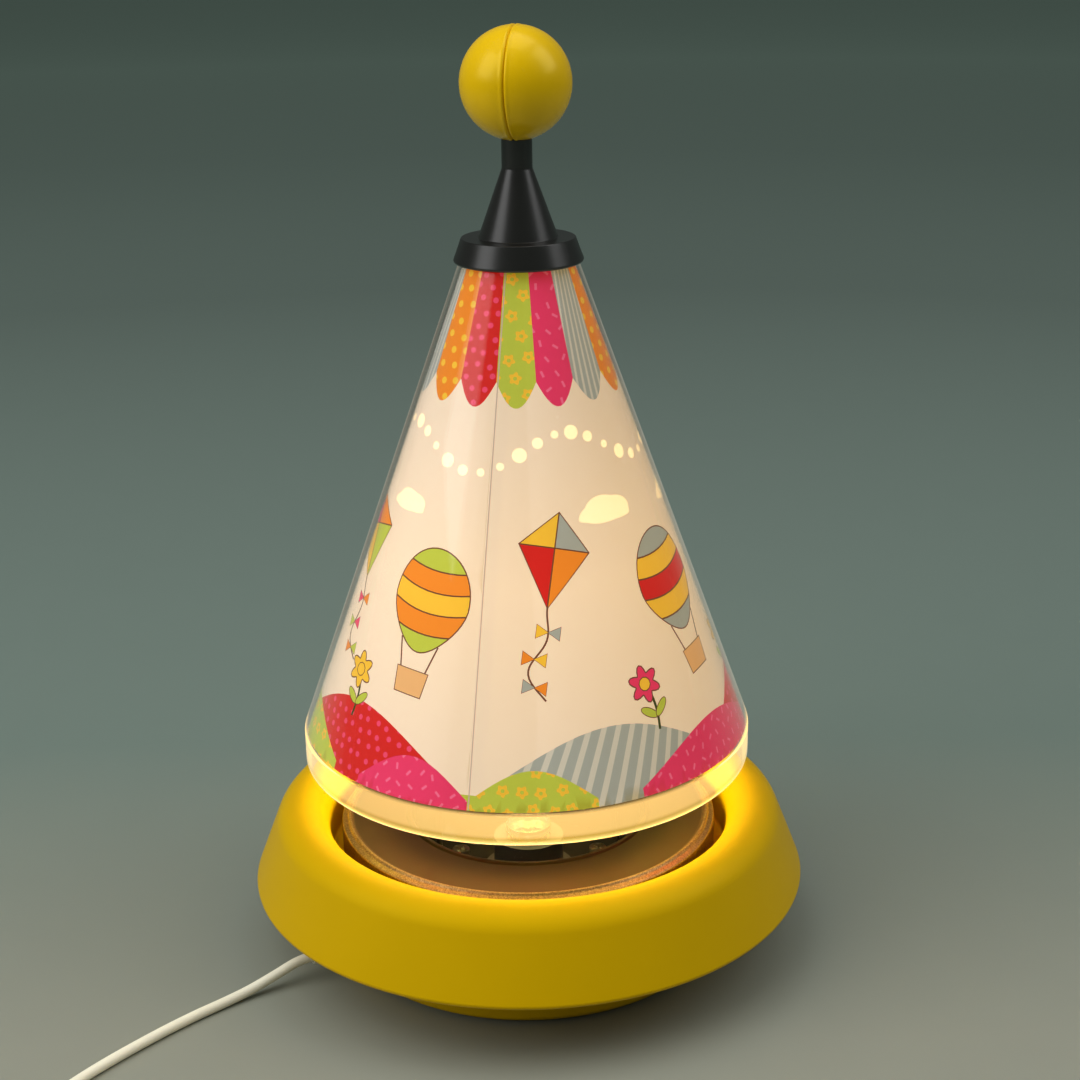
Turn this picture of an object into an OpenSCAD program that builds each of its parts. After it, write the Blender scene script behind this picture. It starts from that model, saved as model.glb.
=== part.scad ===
// Heat-driven carousel table lamp, in millimetres.
// Z is the spin axis, z = 0 is the table top, and the viewer stands on the -Y side.

/* [Base] */
// Diameter of the base at its widest edge
base_d = 200; // [190:1:240]
// Height of that edge above the table
edge_z = 26; // [24:0.5:34]
// Radius that rounds the edge
edge_round = 1.5; // [1:0.1:2]
// Diameter of the well in the base, where its inner wall stands
basin_d = 145; // [143:1:152]
// Radius that rolls the top of the base over into the well
crest_round = 10; // [8:0.5:12]
// Height of the top of the base
crest_z = 53.8; // [50:0.2:64]
// Wall of the base
base_wall = 2.5; // [2:0.1:3]
// Height of the ledge in the well
ledge_z = 30; // [29:0.5:33]
// Diameter of the recessed foot
foot_d = 142; // [136:1:150]
// Height of the underside above the table
foot_gap = 1.5; // [1:0.1:2]
// Diameter of a rubber foot
pad_d = 14; // [10:1:16]
// Radius of the circle that the rubber feet stand on
pad_ring = 58; // [56:1:59]

/* [Plate and cup] */
// Diameter of the metal plate
plate_d = 136.2; // [130:0.2:138]
// Diameter of the hole in the plate
plate_hole_d = 85.2; // [80:0.2:87]
// Height of the top of the plate
plate_z = 47.2; // [44:0.2:50]
// Thickness of the plate and of the cup
sheet = 1; // [0.8:0.1:1.2]
// Radius that rounds the edge of the plate
plate_round = 2.5; // [2:0.1:4]
// Height of the floor of the cup, on top
cup_floor_z = 20; // [18:0.5:21]
// Radius of the circle that the cup is screwed down on
cup_ring = 30; // [28:0.5:32]

/* [Bulb and socket] */
// Diameter of the bulb
bulb_d = 45; // [35:1:48]
// Height of the top of the bulb
bulb_top_z = 94; // [88:1:96]
// Diameter of the screw cap over its thread
cap_d = 13.5; // [13:0.1:13.9]
// Diameter of the flared top of the screw cap
cap_flare_d = 16.6; // [16:0.1:17]
// Height of the contact under the bulb
contact_z = 19; // [18.8:0.1:19.6]
// Height of the rim of the socket
socket_top_z = 36; // [34:0.5:36.5]
// Diameter of the socket body
socket_d = 25.6; // [24:0.2:28]

/* [Bow and needle] */
// Half the distance between the legs of the bow
bow_half = 33; // [31:0.5:36]
// Height of the bow over the bulb
bow_z = 140; // [130:1:146]
// Diameter of the bow's wire
bow_d = 2; // [1.6:0.1:2.4]
// Radius of the bow's bends
bow_bend = 22; // [16:1:26]
// Height of the tip of the needle
tip_z = 188; // [182:1:196]
// Diameter of the needle
needle_d = 2; // [1.5:0.1:2.4]

/* [Wheel] */
// Height of the wheel's plate
wheel_z = 162; // [158:1:166]
// Number of vanes
vane_n = 16; // [10:1:16]
// Slope of a vane
vane_slope = 35; // [30:1:45]
// Width of a vane
vane_w = 7; // [6:0.2:7.5]
// Thickness of the wheel's sheet metal
wheel_sheet = 0.8; // [0.6:0.1:1]
// Radius of the wheel's plate, where the vanes start
wheel_plate_r = 16.5; // [15.5:0.5:18]
// Height of the band round the vanes
band_h = 7; // [6:0.5:9]

/* [Shade] */
// Diameter of the shade at its open bottom
shade_d = 159.4; // [150:0.2:164]
// Height of its bottom edge
shade_z = 73.3; // [66:0.2:80]
// Height of the straight clear rim
rim_h = 10.5; // [8:0.5:14]
// Diameter of the cone at the underside of the cap
neck_d = 40; // [38:0.5:41]
// Height of the underside of the cap
cap_z = 249; // [245:1:260]
// Wall of the clear cone
shade_wall = 1.5; // [1.2:0.1:2]
// Thickness of the printed film
film_t = 0.4; // [0.3:0.1:0.6]

/* [Cap and ball] */
// Diameter of the cap's ring at the bottom
ring_d = 44.2; // [44:0.2:48]
// Diameter of the ring at the top
ring_top_d = 38.2; // [37.6:0.2:42]
// Height of the ring
ring_h = 8.2; // [7:0.2:10]
// Diameter of the foot of the cap's cone
spire_d = 26.6; // [22:0.2:30]
// Height of the cap's cone
spire_h = 22.6; // [18:0.2:28]
// Diameter of the neck under the ball
stalk_d = 10.2; // [9:0.2:12]
// Length of the neck, up to the lowest point of the ball
stalk_h = 8.8; // [7:0.2:12]
// Diameter of the ball
ball_d = 36.8; // [34:0.2:44]
// Wall of the ball
ball_wall = 2; // [1.6:0.1:2.6]
// Turn of the ball's seam away from the viewer
seam_turn = 12; // [0:1:45]

/* [Flex] */
// Diameter of the flex
flex_d = 3.6; // [3.4:0.1:3.8]
// Height of the flex where it leaves the foot
outlet_z = 8; // [7.5:0.1:8.5]
// Loops of the wound coil
coil_loops = 11; // [8:1:12]
// Radius of the outer loops
coil_r = 26.5; // [24:0.5:32]
// Gap between one loop and the next
loop_gap = 0.5; // [0.2:0.05:0.8]

/* [Switch] */
// Length of the in-line switch
switch_l = 56; // [50:1:64]
// Width of the switch
switch_w = 24; // [20:1:28]
// Height of the switch
switch_h = 17; // [16:0.5:20]
// Angle between the rocker's two positions
rock_angle = 16; // [10:1:18]

/* [Hidden] */
$fn = 96;
fit = 0.1;        // gap between pieces that are fixed together
run_gap = 0.3;    // gap between pieces that move on each other
pivot_gap = 0.06; // gap round the rocker's pin
cut = 1;          // how far a cut runs past the face it opens

base_r = base_d / 2;
basin_r = basin_d / 2;
foot_r = foot_d / 2;
cover_sheet = 2.5;
flange_z = edge_z - edge_round;
cover_top_z = flange_z + 2;

crest_c = [basin_r + crest_round, crest_z - crest_round];
edge_c = [base_r - edge_round, edge_z];
flank = edge_c - crest_c;
flank_n = atan2(flank[1], flank[0]) + acos((crest_round - edge_round) / norm(flank));
// The cover's flange ends inside the flank's inner face
in_low = edge_c + (edge_round - base_wall) * [cos(flank_n), sin(flank_n)];
flange_r = in_low[0] - (cover_top_z - in_low[1]) * tan(flank_n) - 3 * fit;

post_r = 4;
screw_r = 1.45;
screw_hole_r = 1.55;
head_r = 3.2;
head_h = 2;
cover_screw_ring = basin_r + base_wall + post_r - 0.2;
cover_screw_angles = [45, 135, 225, 315];
cup_screw_angles = [30, 150, 270];
pad_h = 3;
pad_seat_z = 3;
pan_round = 2;
pan_floor_z = foot_gap + cover_sheet;

plate_r = plate_d / 2;
plate_hole_r = plate_hole_d / 2;
plate_bead_r = 0.8;
cup_flange_r = plate_hole_r + 4.4;
cup_r = plate_hole_r - 0.2;
ledge_r = cup_r + 3.6;
ledge_top_z = ledge_z + base_wall;

bulb_r = bulb_d / 2;
bulb_c = bulb_top_z - bulb_r;
bulb_wall = 0.8;
bulb_neck_r = cap_flare_d / 2 - 0.6;
cap_r = cap_d / 2;
cap_flare_r = cap_flare_d / 2;
flare_z = socket_top_z + 0.5;
cap_top_z = socket_top_z + 5;
glass_low_z = cap_top_z - 1;
socket_r = socket_d / 2;
socket_bore_r = cap_r + run_gap + 1;
socket_floor_z = contact_z - 2;
socket_z = 7;
socket_flange_r = socket_r + 4;
terminal_z = 11;

wire_r = bow_d / 2;
needle_r = needle_d / 2;
holder_r = 3.5;
tube_r = 5;
tube_bore_r = 3.2;
tube_z = wheel_z - 4;
cup_apex_z = tip_z + run_gap;

cone_top_z = cap_z + 4.5;
cone_low_z = shade_z + rim_h;
cone_slope = (shade_d - neck_d) / 2 / (cap_z - cone_low_z);
cone_cos = cos(atan(cone_slope));
film_low_z = cone_low_z - 0.5;
// Radius of the cone at height z, a depth t under its outer face
function cone_r(z, t = 0) = shade_d / 2 - (z - cone_low_z) * cone_slope - t / cone_cos;
film_depth = shade_wall + fit;
wheel_depth = film_depth + film_t + run_gap;

ring_r = ring_d / 2;
ring_top_r = ring_top_d / 2;
spire_z = cap_z + ring_h;
stalk_z = spire_z + spire_h;
ball_r = ball_d / 2;
ball_c = stalk_z + stalk_h + ball_r;
stalk_r = stalk_d / 2;
spigot_r = stalk_r - 1.6;
cap_sheet = 1.5;
seam_gap = 0.1;

flex_r = flex_d / 2;
flex_bore_r = flex_r + 0.15;
outlet_turn = 206;
bush_in = 66;
bush_out = 86;
clamp_r = 52;
clamp_l = 8;

switch_x = -82;
switch_y = -155;
switch_end_l = 6;
split_z = 8.5;
shell_wall = 1.6;
rocker_w = 9;
rocker_l = 17;
rocker_pin_r = 1.2;
rocker_r = rocker_l / 2;
rocker_z = switch_h - 4;
switch_post = [-15.5, -7, 0];
switch_post_r = 2.6;
switch_screw_r = 1.1;
switch_head_r = 2;
switch_head_h = 1.2;

coil_x = -18;
tie_t = 0.7;
coil_c = [coil_x, switch_y - coil_r];
coil_z = tie_t + flex_r;
coil_step = flex_d + loop_gap;
coil_in_r = coil_r - coil_step * coil_loops / 4;
coil_rings = 24;
tie_w = 6;
tie_turn = 135;

plug_x = 30;
plug_z = 6.9;
plug_l = 28;
plug_w = 35;
pin_r = 2;
pin_l = 19;
pin_half = 9.3;

// Points of a route with none lower than a flex that lies on the table
function lying(points) = [for (p = points) [p[0], p[1], max(p[2], flex_r)]];
// Middle of the flex, from the clamp in the foot to the switch
lamp_route = lying([
    [-43, -21, 8], [-50, -24.4, 8], [-57, -27.8, 8], [-64, -31.2, 8], [-71, -34.6, 8],
    [-77, -37.6, 8], [-83, -40.8, 7.2], [-90, -45.3, 4.9], [-98, -51, 2.8], [-106, -57.3, 1.9],
    [-114, -64.4, 1.8], [-122, -72.4, 1.8], [-130, -81.2, 1.8], [-137, -89.4, 1.8],
    [-143, -97, 1.8], [-148, -104, 1.8], [-153, -111, 1.8], [-157, -119, 1.8],
    [-158.4, -128, 1.8], [-156.5, -137, 1.8], [-152, -145, 1.8], [-145, -151, 1.8],
    [-137, -154.3, 2.3], [-130, -155, 3.6], [-123, -155, 6], [-117, -155, 7.8],
    [-112, -155, 8.5], [-108, -155, 8.5], [-104, -155, 8.5]]);
// From the switch to the coil, and from the coil to the plug
coil_top_z = coil_z + 3 * coil_step;
switch_route = lying([
    [-60, -155, 8.5], [-54, -155, 8.5], [-48, -155, 8.1], [-42, -155, 6.6], [-36, -155, 4.4],
    [-30, -155, 2.9], [coil_x - flex_d - 3.4, -155, coil_z], [coil_x - flex_d, -155, coil_z]]);
plug_route = lying([
    [coil_x + flex_d, -155, coil_top_z], [coil_x + flex_d + 3.4, -155, coil_top_z],
    [-7, -155, coil_top_z - 0.5], [-2, -155, coil_top_z - 2], [3, -155, 10.6],
    [7, -155, 8.7], [11, -155, 7.3], [15, -155, 6.9], [24, -155, 6.9]]);

// A point at distance r from c, in direction a
function around(c, r, a) = c + r * [cos(a), sin(a)];
// Smooth step from 0 to 1 as t goes from 0 to 1
function ease(t) = let (s = min(1, max(0, t))) s * s * (3 - 2 * s);

// A ring of revolution: square from r0 to r1 and z0 to z1
module ring(r0, r1, z0, z1) {
    translate([0, 0, z0]) difference() {
        cylinder(r = r1, h = z1 - z0);
        if (r0 > 0)
            translate([0, 0, -cut]) cylinder(r = r0, h = z1 - z0 + 2 * cut);
    }
}

module rod(r, z0, z1) {
    translate([0, 0, z0]) cylinder(r = r, h = z1 - z0);
}

// Cylinder along X from x0 to x1, at height z
module rod_x(r, x0, x1, z = 0) {
    translate([x0, 0, z]) rotate([0, 90, 0]) cylinder(r = r, h = x1 - x0);
}

// Places its children at each of the angles, r away from the axis
module at_angles(angles, r) {
    for (a = angles)
        rotate([0, 0, a]) translate([r, 0, 0]) children();
}

module rounded_rect(l, w, r) {
    square([l - 2 * r, w], center = true);
    square([l, w - 2 * r], center = true);
    for (x = [-1, 1], y = [-1, 1])
        translate([x * (l / 2 - r), y * (w / 2 - r)]) circle(r = r);
}

// Round tube with flat-cut ends, swept along points p with n sides.
// A ring lies square to the line through its neighbours, with one vertex level to each side.
module sweep(p, r, n) {
    last = len(p) - 1;
    function ahead(i) = p[min(i + 1, last)] - p[max(i - 1, 0)];
    rings = [for (i = [0:last])
        let (t = ahead(i) / norm(ahead(i)), s = cross(t, [0, 0, 1]), side = s / norm(s),
             top = cross(side, t))
        for (j = [0:n - 1]) p[i] + r * (cos(360 * j / n) * side + sin(360 * j / n) * top)];
    walls = [for (i = [0:last - 1], j = [0:n - 1])
        let (a = i * n + j, b = i * n + (j + 1) % n)
        each [[a, a + n, b], [b, a + n, b + n]]];
    start = [for (j = [1:n - 2]) [0, j, j + 1]];
    end = [for (j = [1:n - 2]) [last * n, last * n + j + 1, last * n + j]];
    polyhedron(concat(rings), concat(walls, start, end), convexity = 6);
}

// ---- base ----

module base_section() {
    tan_out = around(crest_c, crest_round, flank_n);
    tan_edge = around(edge_c, edge_round, flank_n);
    in_r = crest_round - base_wall;
    in_top = around(crest_c, in_r, flank_n);
    difference() {
        union() {
            translate(crest_c) circle(r = crest_round);
            translate(edge_c) circle(r = edge_round);
            polygon([[basin_r, ledge_z], [basin_r + base_wall, ledge_z],
                [basin_r + base_wall, flange_z], [edge_c[0], flange_z], edge_c, tan_edge, tan_out,
                crest_c, [basin_r, crest_c[1]]]);
        }
        translate(crest_c) circle(r = in_r);
        polygon([[crest_c[0] - in_r, flange_z - cut], [in_low[0], flange_z - cut], in_low,
            in_top, crest_c, [crest_c[0] - in_r, crest_c[1]]]);
    }
    translate([ledge_r, ledge_z]) square([basin_r + 1 - ledge_r, base_wall]);
}

module base_shell() {
    color("gold") {
        rotate_extrude() base_section();
        at_angles(cover_screw_angles, cover_screw_ring)
            ring(screw_hole_r, post_r, cover_top_z, cover_top_z + 18);
    }
}

module cover_section() {
    translate([foot_r - pan_round, foot_gap + pan_round]) circle(r = pan_round);
    translate([0, foot_gap]) square([foot_r - pan_round, cover_sheet]);
    translate([foot_r - cover_sheet, foot_gap + pan_round])
        square([cover_sheet, cover_top_z - foot_gap - pan_round]);
    translate([foot_r - cover_sheet, flange_z])
        square([flange_r - foot_r + cover_sheet, cover_top_z - flange_z]);
}

module base_cover() {
    slot_l = 13;
    slot_w = 3;
    color("gold") difference() {
        union() {
            rotate_extrude() cover_section();
            at_angles(cup_screw_angles, cup_ring)
                rod(post_r, pan_floor_z - fit, cup_floor_z - sheet);
            rotate([0, 0, outlet_turn])
                translate([clamp_r - clamp_l / 2, -10.5, pan_floor_z - fit])
                    cube([clamp_l, 21, outlet_z - flex_r - pan_floor_z + fit]);
        }
        at_angles(cup_screw_angles, cup_ring) rod(screw_hole_r, cup_floor_z - 13, cup_floor_z);
        at_angles(cover_screw_angles, cover_screw_ring)
            rod(screw_r + 0.3, flange_z - cut, cover_top_z + cut);
        at_angles([0, 90, 180, 270], pad_ring) rod(pad_d / 2 + fit, 0, pad_seat_z);
        for (a = [0:45:315])
            rotate([0, 0, a]) translate([36, -slot_w / 2, 0]) cube([slot_l, slot_w, 8]);
        rotate([0, 0, outlet_turn]) {
            rod_x(4 + fit, bush_in - cut, foot_r + cut, outlet_z);
            for (y = [-1, 1]) translate([clamp_r, y * 7, 0])
                rod(1.05, foot_gap + 1, outlet_z);
        }
    }
}

module rubber_feet() {
    color("dimgray") at_angles([0, 90, 180, 270], pad_ring) rod(pad_d / 2, 0, pad_h);
}

// Cross-head screw with its head on top of height 0 and its shank below
module pan_screw(length) {
    slot_w = 0.8;
    slot_l = 4.8;
    slot_deep = 0.9;
    difference() {
        union() {
            rod(screw_r, -length, 0);
            rod(head_r, 0, head_h);
        }
        for (a = [0, 90]) rotate([0, 0, a])
            translate([-slot_w / 2, -slot_l / 2, head_h - slot_deep])
                cube([slot_w, slot_l, slot_deep + cut]);
    }
}

module cover_screws() {
    color("silver") at_angles(cover_screw_angles, cover_screw_ring)
        translate([0, 0, flange_z]) rotate([180, 0, 0]) pan_screw(14);
}

module heat_plate() {
    in_r = plate_round - sheet;
    bend = [plate_r - plate_round, plate_z - plate_round];
    color("peru") rotate_extrude() {
        difference() {
            union() {
                translate(bend) circle(r = plate_round);
                translate([bend[0] - 8, ledge_top_z]) square([8 + plate_round, bend[1] - ledge_top_z]);
                translate([bend[0] - 8, bend[1] - 1]) square([8, plate_round + 1]);
            }
            translate(bend) circle(r = in_r);
            translate([bend[0] - 9, ledge_top_z - cut])
                square([9 + in_r, bend[1] - ledge_top_z + cut]);
            translate([bend[0] - 9, bend[1] - 2]) square([9, in_r + 2]);
        }
        translate([plate_hole_r + plate_bead_r, plate_z - sheet])
            square([bend[0] - 7 - plate_hole_r - plate_bead_r, sheet]);
        translate([plate_hole_r + plate_bead_r, plate_z - sheet + plate_bead_r])
            circle(r = plate_bead_r);
    }
}

module reflector_cup() {
    vent_r = 3.2;
    top_z = plate_z - sheet;
    color("dimgray") difference() {
        union() {
            ring(cup_r - sheet, cup_flange_r, top_z - sheet, top_z);
            ring(cup_r - sheet, cup_r, cup_floor_z - sheet, top_z - sheet / 2);
            ring(socket_r + 0.3, cup_r - sheet / 2, cup_floor_z - sheet, cup_floor_z);
            for (x = [-1, 1]) translate([x * bow_half, 0, 0])
                ring(wire_r + fit, wire_r + 1.4, cup_floor_z - fit, cup_floor_z + 6);
        }
        at_angles(cup_screw_angles, cup_ring)
            rod(screw_r + fit, cup_floor_z - sheet - cut, cup_floor_z + cut);
        at_angles([60, 90, 120, 210, 240, 300, 330], cup_ring)
            rod(vent_r, cup_floor_z - sheet - cut, cup_floor_z + cut);
    }
}

module cup_screws() {
    color("silver") at_angles(cup_screw_angles, cup_ring)
        translate([0, 0, cup_floor_z]) pan_screw(10);
}

// ---- socket ----

module lamp_socket() {
    color("#2b2622") difference() {
        union() {
            rod(socket_r, socket_z, socket_top_z);
            ring(socket_r - 1, socket_flange_r, cup_floor_z, cup_floor_z + 2.5);
        }
        rod(socket_bore_r, socket_floor_z, socket_top_z + cut);
        for (y = [0, 180]) rotate([0, 0, y + 90]) {
            rod_x(1.7, socket_r - 5, socket_r + cut, terminal_z);
            rod_x(1.05, socket_r - 7, socket_r + cut, terminal_z - 3);
        }
    }
}

module socket_nut() {
    color("#2b2622") difference() {
        ring(socket_r + fit, socket_flange_r, cup_floor_z - sheet - 5, cup_floor_z - sheet);
        for (a = [0:30:330])
            rotate([0, 0, a]) translate([socket_flange_r - 0.8, -1, 0]) cube([2, 2, cup_floor_z]);
    }
}

module socket_shell() {
    color("goldenrod")
        ring(cap_r + run_gap, socket_bore_r - fit, socket_floor_z, socket_top_z - 1);
}

module socket_contact() {
    color("goldenrod") rod(2.5, socket_floor_z, contact_z - run_gap);
}

module terminal_screws() {
    color("silver") for (y = [0, 180]) rotate([0, 0, y + 90])
        rod_x(1.6, socket_r - 5, socket_r - 0.5, terminal_z);
}

// ---- bow and needle ----

module needle_bow() {
    corner_x = bow_half - bow_bend;
    color("silver") {
        for (s = [0, 180]) rotate([0, 0, s]) {
            translate([bow_half, 0, 0]) rod(wire_r, cup_floor_z, bow_z - bow_bend);
            translate([corner_x, 0, bow_z - bow_bend]) rotate([90, 0, 0])
                rotate_extrude(angle = 90) translate([bow_bend, 0]) circle(r = wire_r);
        }
        rod_x(wire_r, -corner_x, corner_x, bow_z);
    }
}

module needle_holder() {
    holder_down = 4;
    holder_up = 6;
    color("goldenrod") difference() {
        rod(holder_r, bow_z - holder_down, bow_z + holder_up);
        rod_x(wire_r + fit / 2, -holder_r - cut, holder_r + cut, bow_z);
        rod(needle_r + fit / 2, bow_z, bow_z + holder_up + cut);
    }
}

module bearing_needle() {
    point_h = 6;
    color("silver") {
        rod(needle_r, bow_z + wire_r + fit, tip_z - point_h);
        translate([0, 0, tip_z - point_h]) cylinder(r1 = needle_r, r2 = 0.15, h = point_h);
    }
}

// ---- flex outlet ----

module outlet() {
    translate([0, 0, outlet_z]) rotate([0, 0, outlet_turn]) rotate([0, 90, 0]) children();
}

module flex_bush() {
    wall_in = foot_r - cover_sheet - 0.5;
    wall_out = foot_r + 0.1;
    color("ivory") outlet() difference() {
        union() {
            rod(6, bush_in, wall_in);
            rod(4, wall_in - fit, wall_out + fit);
            rod(5, wall_out, wall_out + 2);
            translate([0, 0, wall_out + 2 - fit])
                cylinder(r1 = 4.3, r2 = 2.7, h = bush_out - wall_out - 2 + fit);
        }
        rod(flex_bore_r, bush_in - cut, bush_out + cut);
        // The inner flange ends above the rounded corner of the pan
        translate([outlet_z - foot_gap - 2 * pan_round - fit, -10, bush_in - cut])
            cube([10, 20, wall_in - bush_in + cut]);
        for (x = [wall_out + 4, wall_out + 7, wall_out + 10]) ring(3.1, 6, x, x + 1);
    }
}

module flex_clamp() {
    color("ivory") rotate([0, 0, outlet_turn]) difference() {
        translate([clamp_r - clamp_l / 2, -10, outlet_z - flex_r]) cube([clamp_l, 20, 6]);
        rod_x(flex_r + 0.05, clamp_r - clamp_l, clamp_r + clamp_l, outlet_z);
        translate([clamp_r - clamp_l, -flex_r - 0.05, outlet_z - flex_r - cut])
            cube([2 * clamp_l, 2 * flex_r + 0.1, flex_r + cut]);
        for (y = [-7, 7]) translate([clamp_r, y, 0]) rod(1.3, 0, 20);
    }
}

module clamp_screws() {
    seat_z = outlet_z - flex_r + 6;
    color("silver") rotate([0, 0, outlet_turn]) for (y = [-7, 7]) translate([clamp_r, y, 0]) {
        rod(0.95, seat_z - 8, seat_z);
        rod(2.2, seat_z, seat_z + 1.6);
    }
}

// The two leads, from the end of the flex to the socket's terminals
module inner_leads() {
    lead_r = 0.8;
    start = lamp_route[0];
    across = [0.47, -0.96, 0];
    for (s = [-1, 1]) color(s < 0 ? "saddlebrown" : "royalblue")
        sweep([start + s * across + [0.05, 0.02, 0], start + s * across + [2.25, 1.09, 0],
            [-34, -17 - 2 * s, 8], [-26, -16 - 5 * s, 7], [-16, -3 - 17 * s, 7],
            [-8, -1 - 19.5 * s, 8], [-2.5, -20 * s, 8], [0, -17 * s, 8], [0, -(socket_r - 6) * s, 8]],
            lead_r, 8);
}

// ---- bulb ----

module bulb_section(inset) {
    r = bulb_r - inset;
    neck = bulb_neck_r - inset;
    waist_z = bulb_c - sqrt(pow(bulb_r, 2) - pow(0.8 * bulb_r, 2));
    intersection() {
        translate([0, glass_low_z]) square([bulb_r, bulb_top_z]);
        union() {
            translate([0, bulb_c]) circle(r = r);
            polygon([[0, glass_low_z], [neck, glass_low_z], [neck, cap_top_z + 4],
                [0.8 * r, waist_z], [0, bulb_c]]);
        }
    }
}

module bulb_glass() {
    color([1, 0.95, 0.85, 0.6]) rotate_extrude() difference() {
        bulb_section(0);
        bulb_section(bulb_wall);
    }
}

module bulb_cap() {
    low_z = contact_z + 2;
    color("goldenrod") difference() {
        union() {
            rod(cap_r, low_z, flare_z + fit);
            translate([0, 0, flare_z]) cylinder(r1 = cap_r, r2 = cap_flare_r, h = 2);
            rod(cap_flare_r, flare_z + 2, cap_top_z);
        }
        rod(cap_r - 0.7, low_z - cut, cap_top_z);
        rod(bulb_neck_r + fit, glass_low_z, cap_top_z + cut);
    }
}

module bulb_insulator() {
    color("black") rod(cap_r - 0.8, contact_z + 1, contact_z + 3);
}

module bulb_contact() {
    color("silver") rod(2.2, contact_z, contact_z + 1);
}

module bulb_stem() {
    color([0.9, 0.95, 1, 0.5]) {
        rod(cap_r - 0.8, contact_z + 3, contact_z + 5);
        rod(2.2, contact_z + 4, bulb_c - 14);
    }
}

module support_wires() {
    color("silver") for (s = [-1, 1])
        sweep([[s * 1.2, 0, bulb_c - 14], [s * 1.5, 0.01, bulb_c - 11], [s * 7, 0.02, bulb_c - 2],
            [s * 7.6, 0.03, bulb_c]], 0.3, 6);
}

module filament() {
    turn_r = 7.6;
    color("orange") translate([0, 0, bulb_c + 0.4])
        rotate_extrude(angle = 180) translate([turn_r, 0]) circle(r = 0.4);
}

// ---- wheel ----

module turbine_wheel() {
    low_z = wheel_z - band_h / 2 + 0.4;
    high_z = low_z + band_h;
    band_low = cone_r(low_z, wheel_depth);
    band_high = cone_r(high_z, wheel_depth);
    band_mid = cone_r(wheel_z, wheel_depth);
    color("gainsboro") {
        ring(tube_r + 0.05, wheel_plate_r, wheel_z, wheel_z + wheel_sheet);
        rotate_extrude() polygon([[band_low, low_z], [band_high, high_z],
            [band_high - wheel_sheet, high_z], [band_low - wheel_sheet, low_z]]);
        for (i = [0:vane_n - 1]) rotate([0, 0, 360 * i / vane_n])
            translate([wheel_plate_r - 0.6, 0, wheel_z + wheel_sheet / 2])
                rotate([vane_slope, 0, 0]) translate([0, -vane_w / 2, -wheel_sheet / 2])
                    cube([band_mid - wheel_plate_r - 0.3, vane_w, wheel_sheet]);
    }
}

module wheel_hub() {
    color("#2b2622") difference() {
        union() {
            rod(tube_r, tube_z, tip_z + 3.5);
            rod(tube_r + 4, tube_z, wheel_z);
        }
        rod(tube_bore_r, tube_z - cut, tip_z + 2);
    }
}

module bearing_cup() {
    color([0.8, 0.9, 1, 0.6]) difference() {
        rod(tube_bore_r - 0.05, tip_z - 2, tip_z + 2);
        translate([0, 0, tip_z - 2 - cut])
            cylinder(r1 = 2.4, r2 = 0.4, h = cup_apex_z - tip_z + 2 + cut);
    }
}

// ---- shade ----

module shade_cone() {
    in = shade_wall / cone_cos;
    rim_r = shade_d / 2;
    color([1, 1, 1, 0.3]) rotate_extrude() {
        polygon([[rim_r, cone_low_z], [cone_r(cone_top_z), cone_top_z],
            [cone_r(cone_top_z) - in, cone_top_z], [rim_r - in, cone_low_z]]);
        translate([rim_r - in, shade_z + 0.8]) square([in, rim_h - 0.8]);
        translate([rim_r - in / 2, shade_z + 0.8]) circle(r = in / 2);
    }
}

module shade_film() {
    t = film_t / cone_cos;
    outer_low = cone_r(film_low_z + 1, film_depth);
    outer_high = cone_r(cone_top_z - 1, film_depth);
    color([1, 0.93, 0.85]) rotate_extrude()
        polygon([[outer_low, film_low_z + 1], [outer_high, cone_top_z - 1],
            [outer_high - t, cone_top_z - 1], [outer_low - t, film_low_z + 1]]);
}

module cap_section() {
    lid_z = spire_z - 2.2;
    neck_top = ball_c - sqrt(pow(ball_r + fit, 2) - pow(stalk_r, 2));
    soft = 0.8;
    difference() {
        union() {
            polygon([[0, cap_z], [ring_r - 1.2 * soft, cap_z], [ring_r, cap_z + soft],
                [ring_top_r + 0.25, spire_z - 0.6], [ring_top_r - 0.5, spire_z], [0, spire_z]]);
            polygon([[0, lid_z], [spire_d / 2, spire_z], [stalk_r, stalk_z], [stalk_r, neck_top + 1],
                [0, neck_top + 1]]);
        }
        polygon([[0, cap_z - cut], [ring_r - cap_sheet, cap_z - cut],
            [ring_r - cap_sheet, cap_z], [ring_top_r - 0.9, lid_z], [0, lid_z]]);
        polygon([[0, lid_z - cut], [spire_d / 2 - 2.4, lid_z - cut], [spire_d / 2 - 2.4, lid_z],
            [stalk_r - 2, stalk_z - 2], [0, stalk_z - 2]]);
        translate([0, ball_c]) circle(r = ball_r + fit);
        translate([-ring_r, 0]) square([ring_r, 2 * ball_c]);
    }
}

module top_cap() {
    lid_z = spire_z - 2.2;
    color("#1c1a18") {
        rotate_extrude() cap_section();
        rod(spigot_r, stalk_z - 2 - fit, ball_c - ball_r + 12);
        for (a = [30:120:270]) rotate([0, 0, a])
            translate([cone_r(cone_top_z) - 2.5, -1, cone_top_z])
                cube([3.5, 2, lid_z - cone_top_z + fit]);
    }
}

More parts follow.
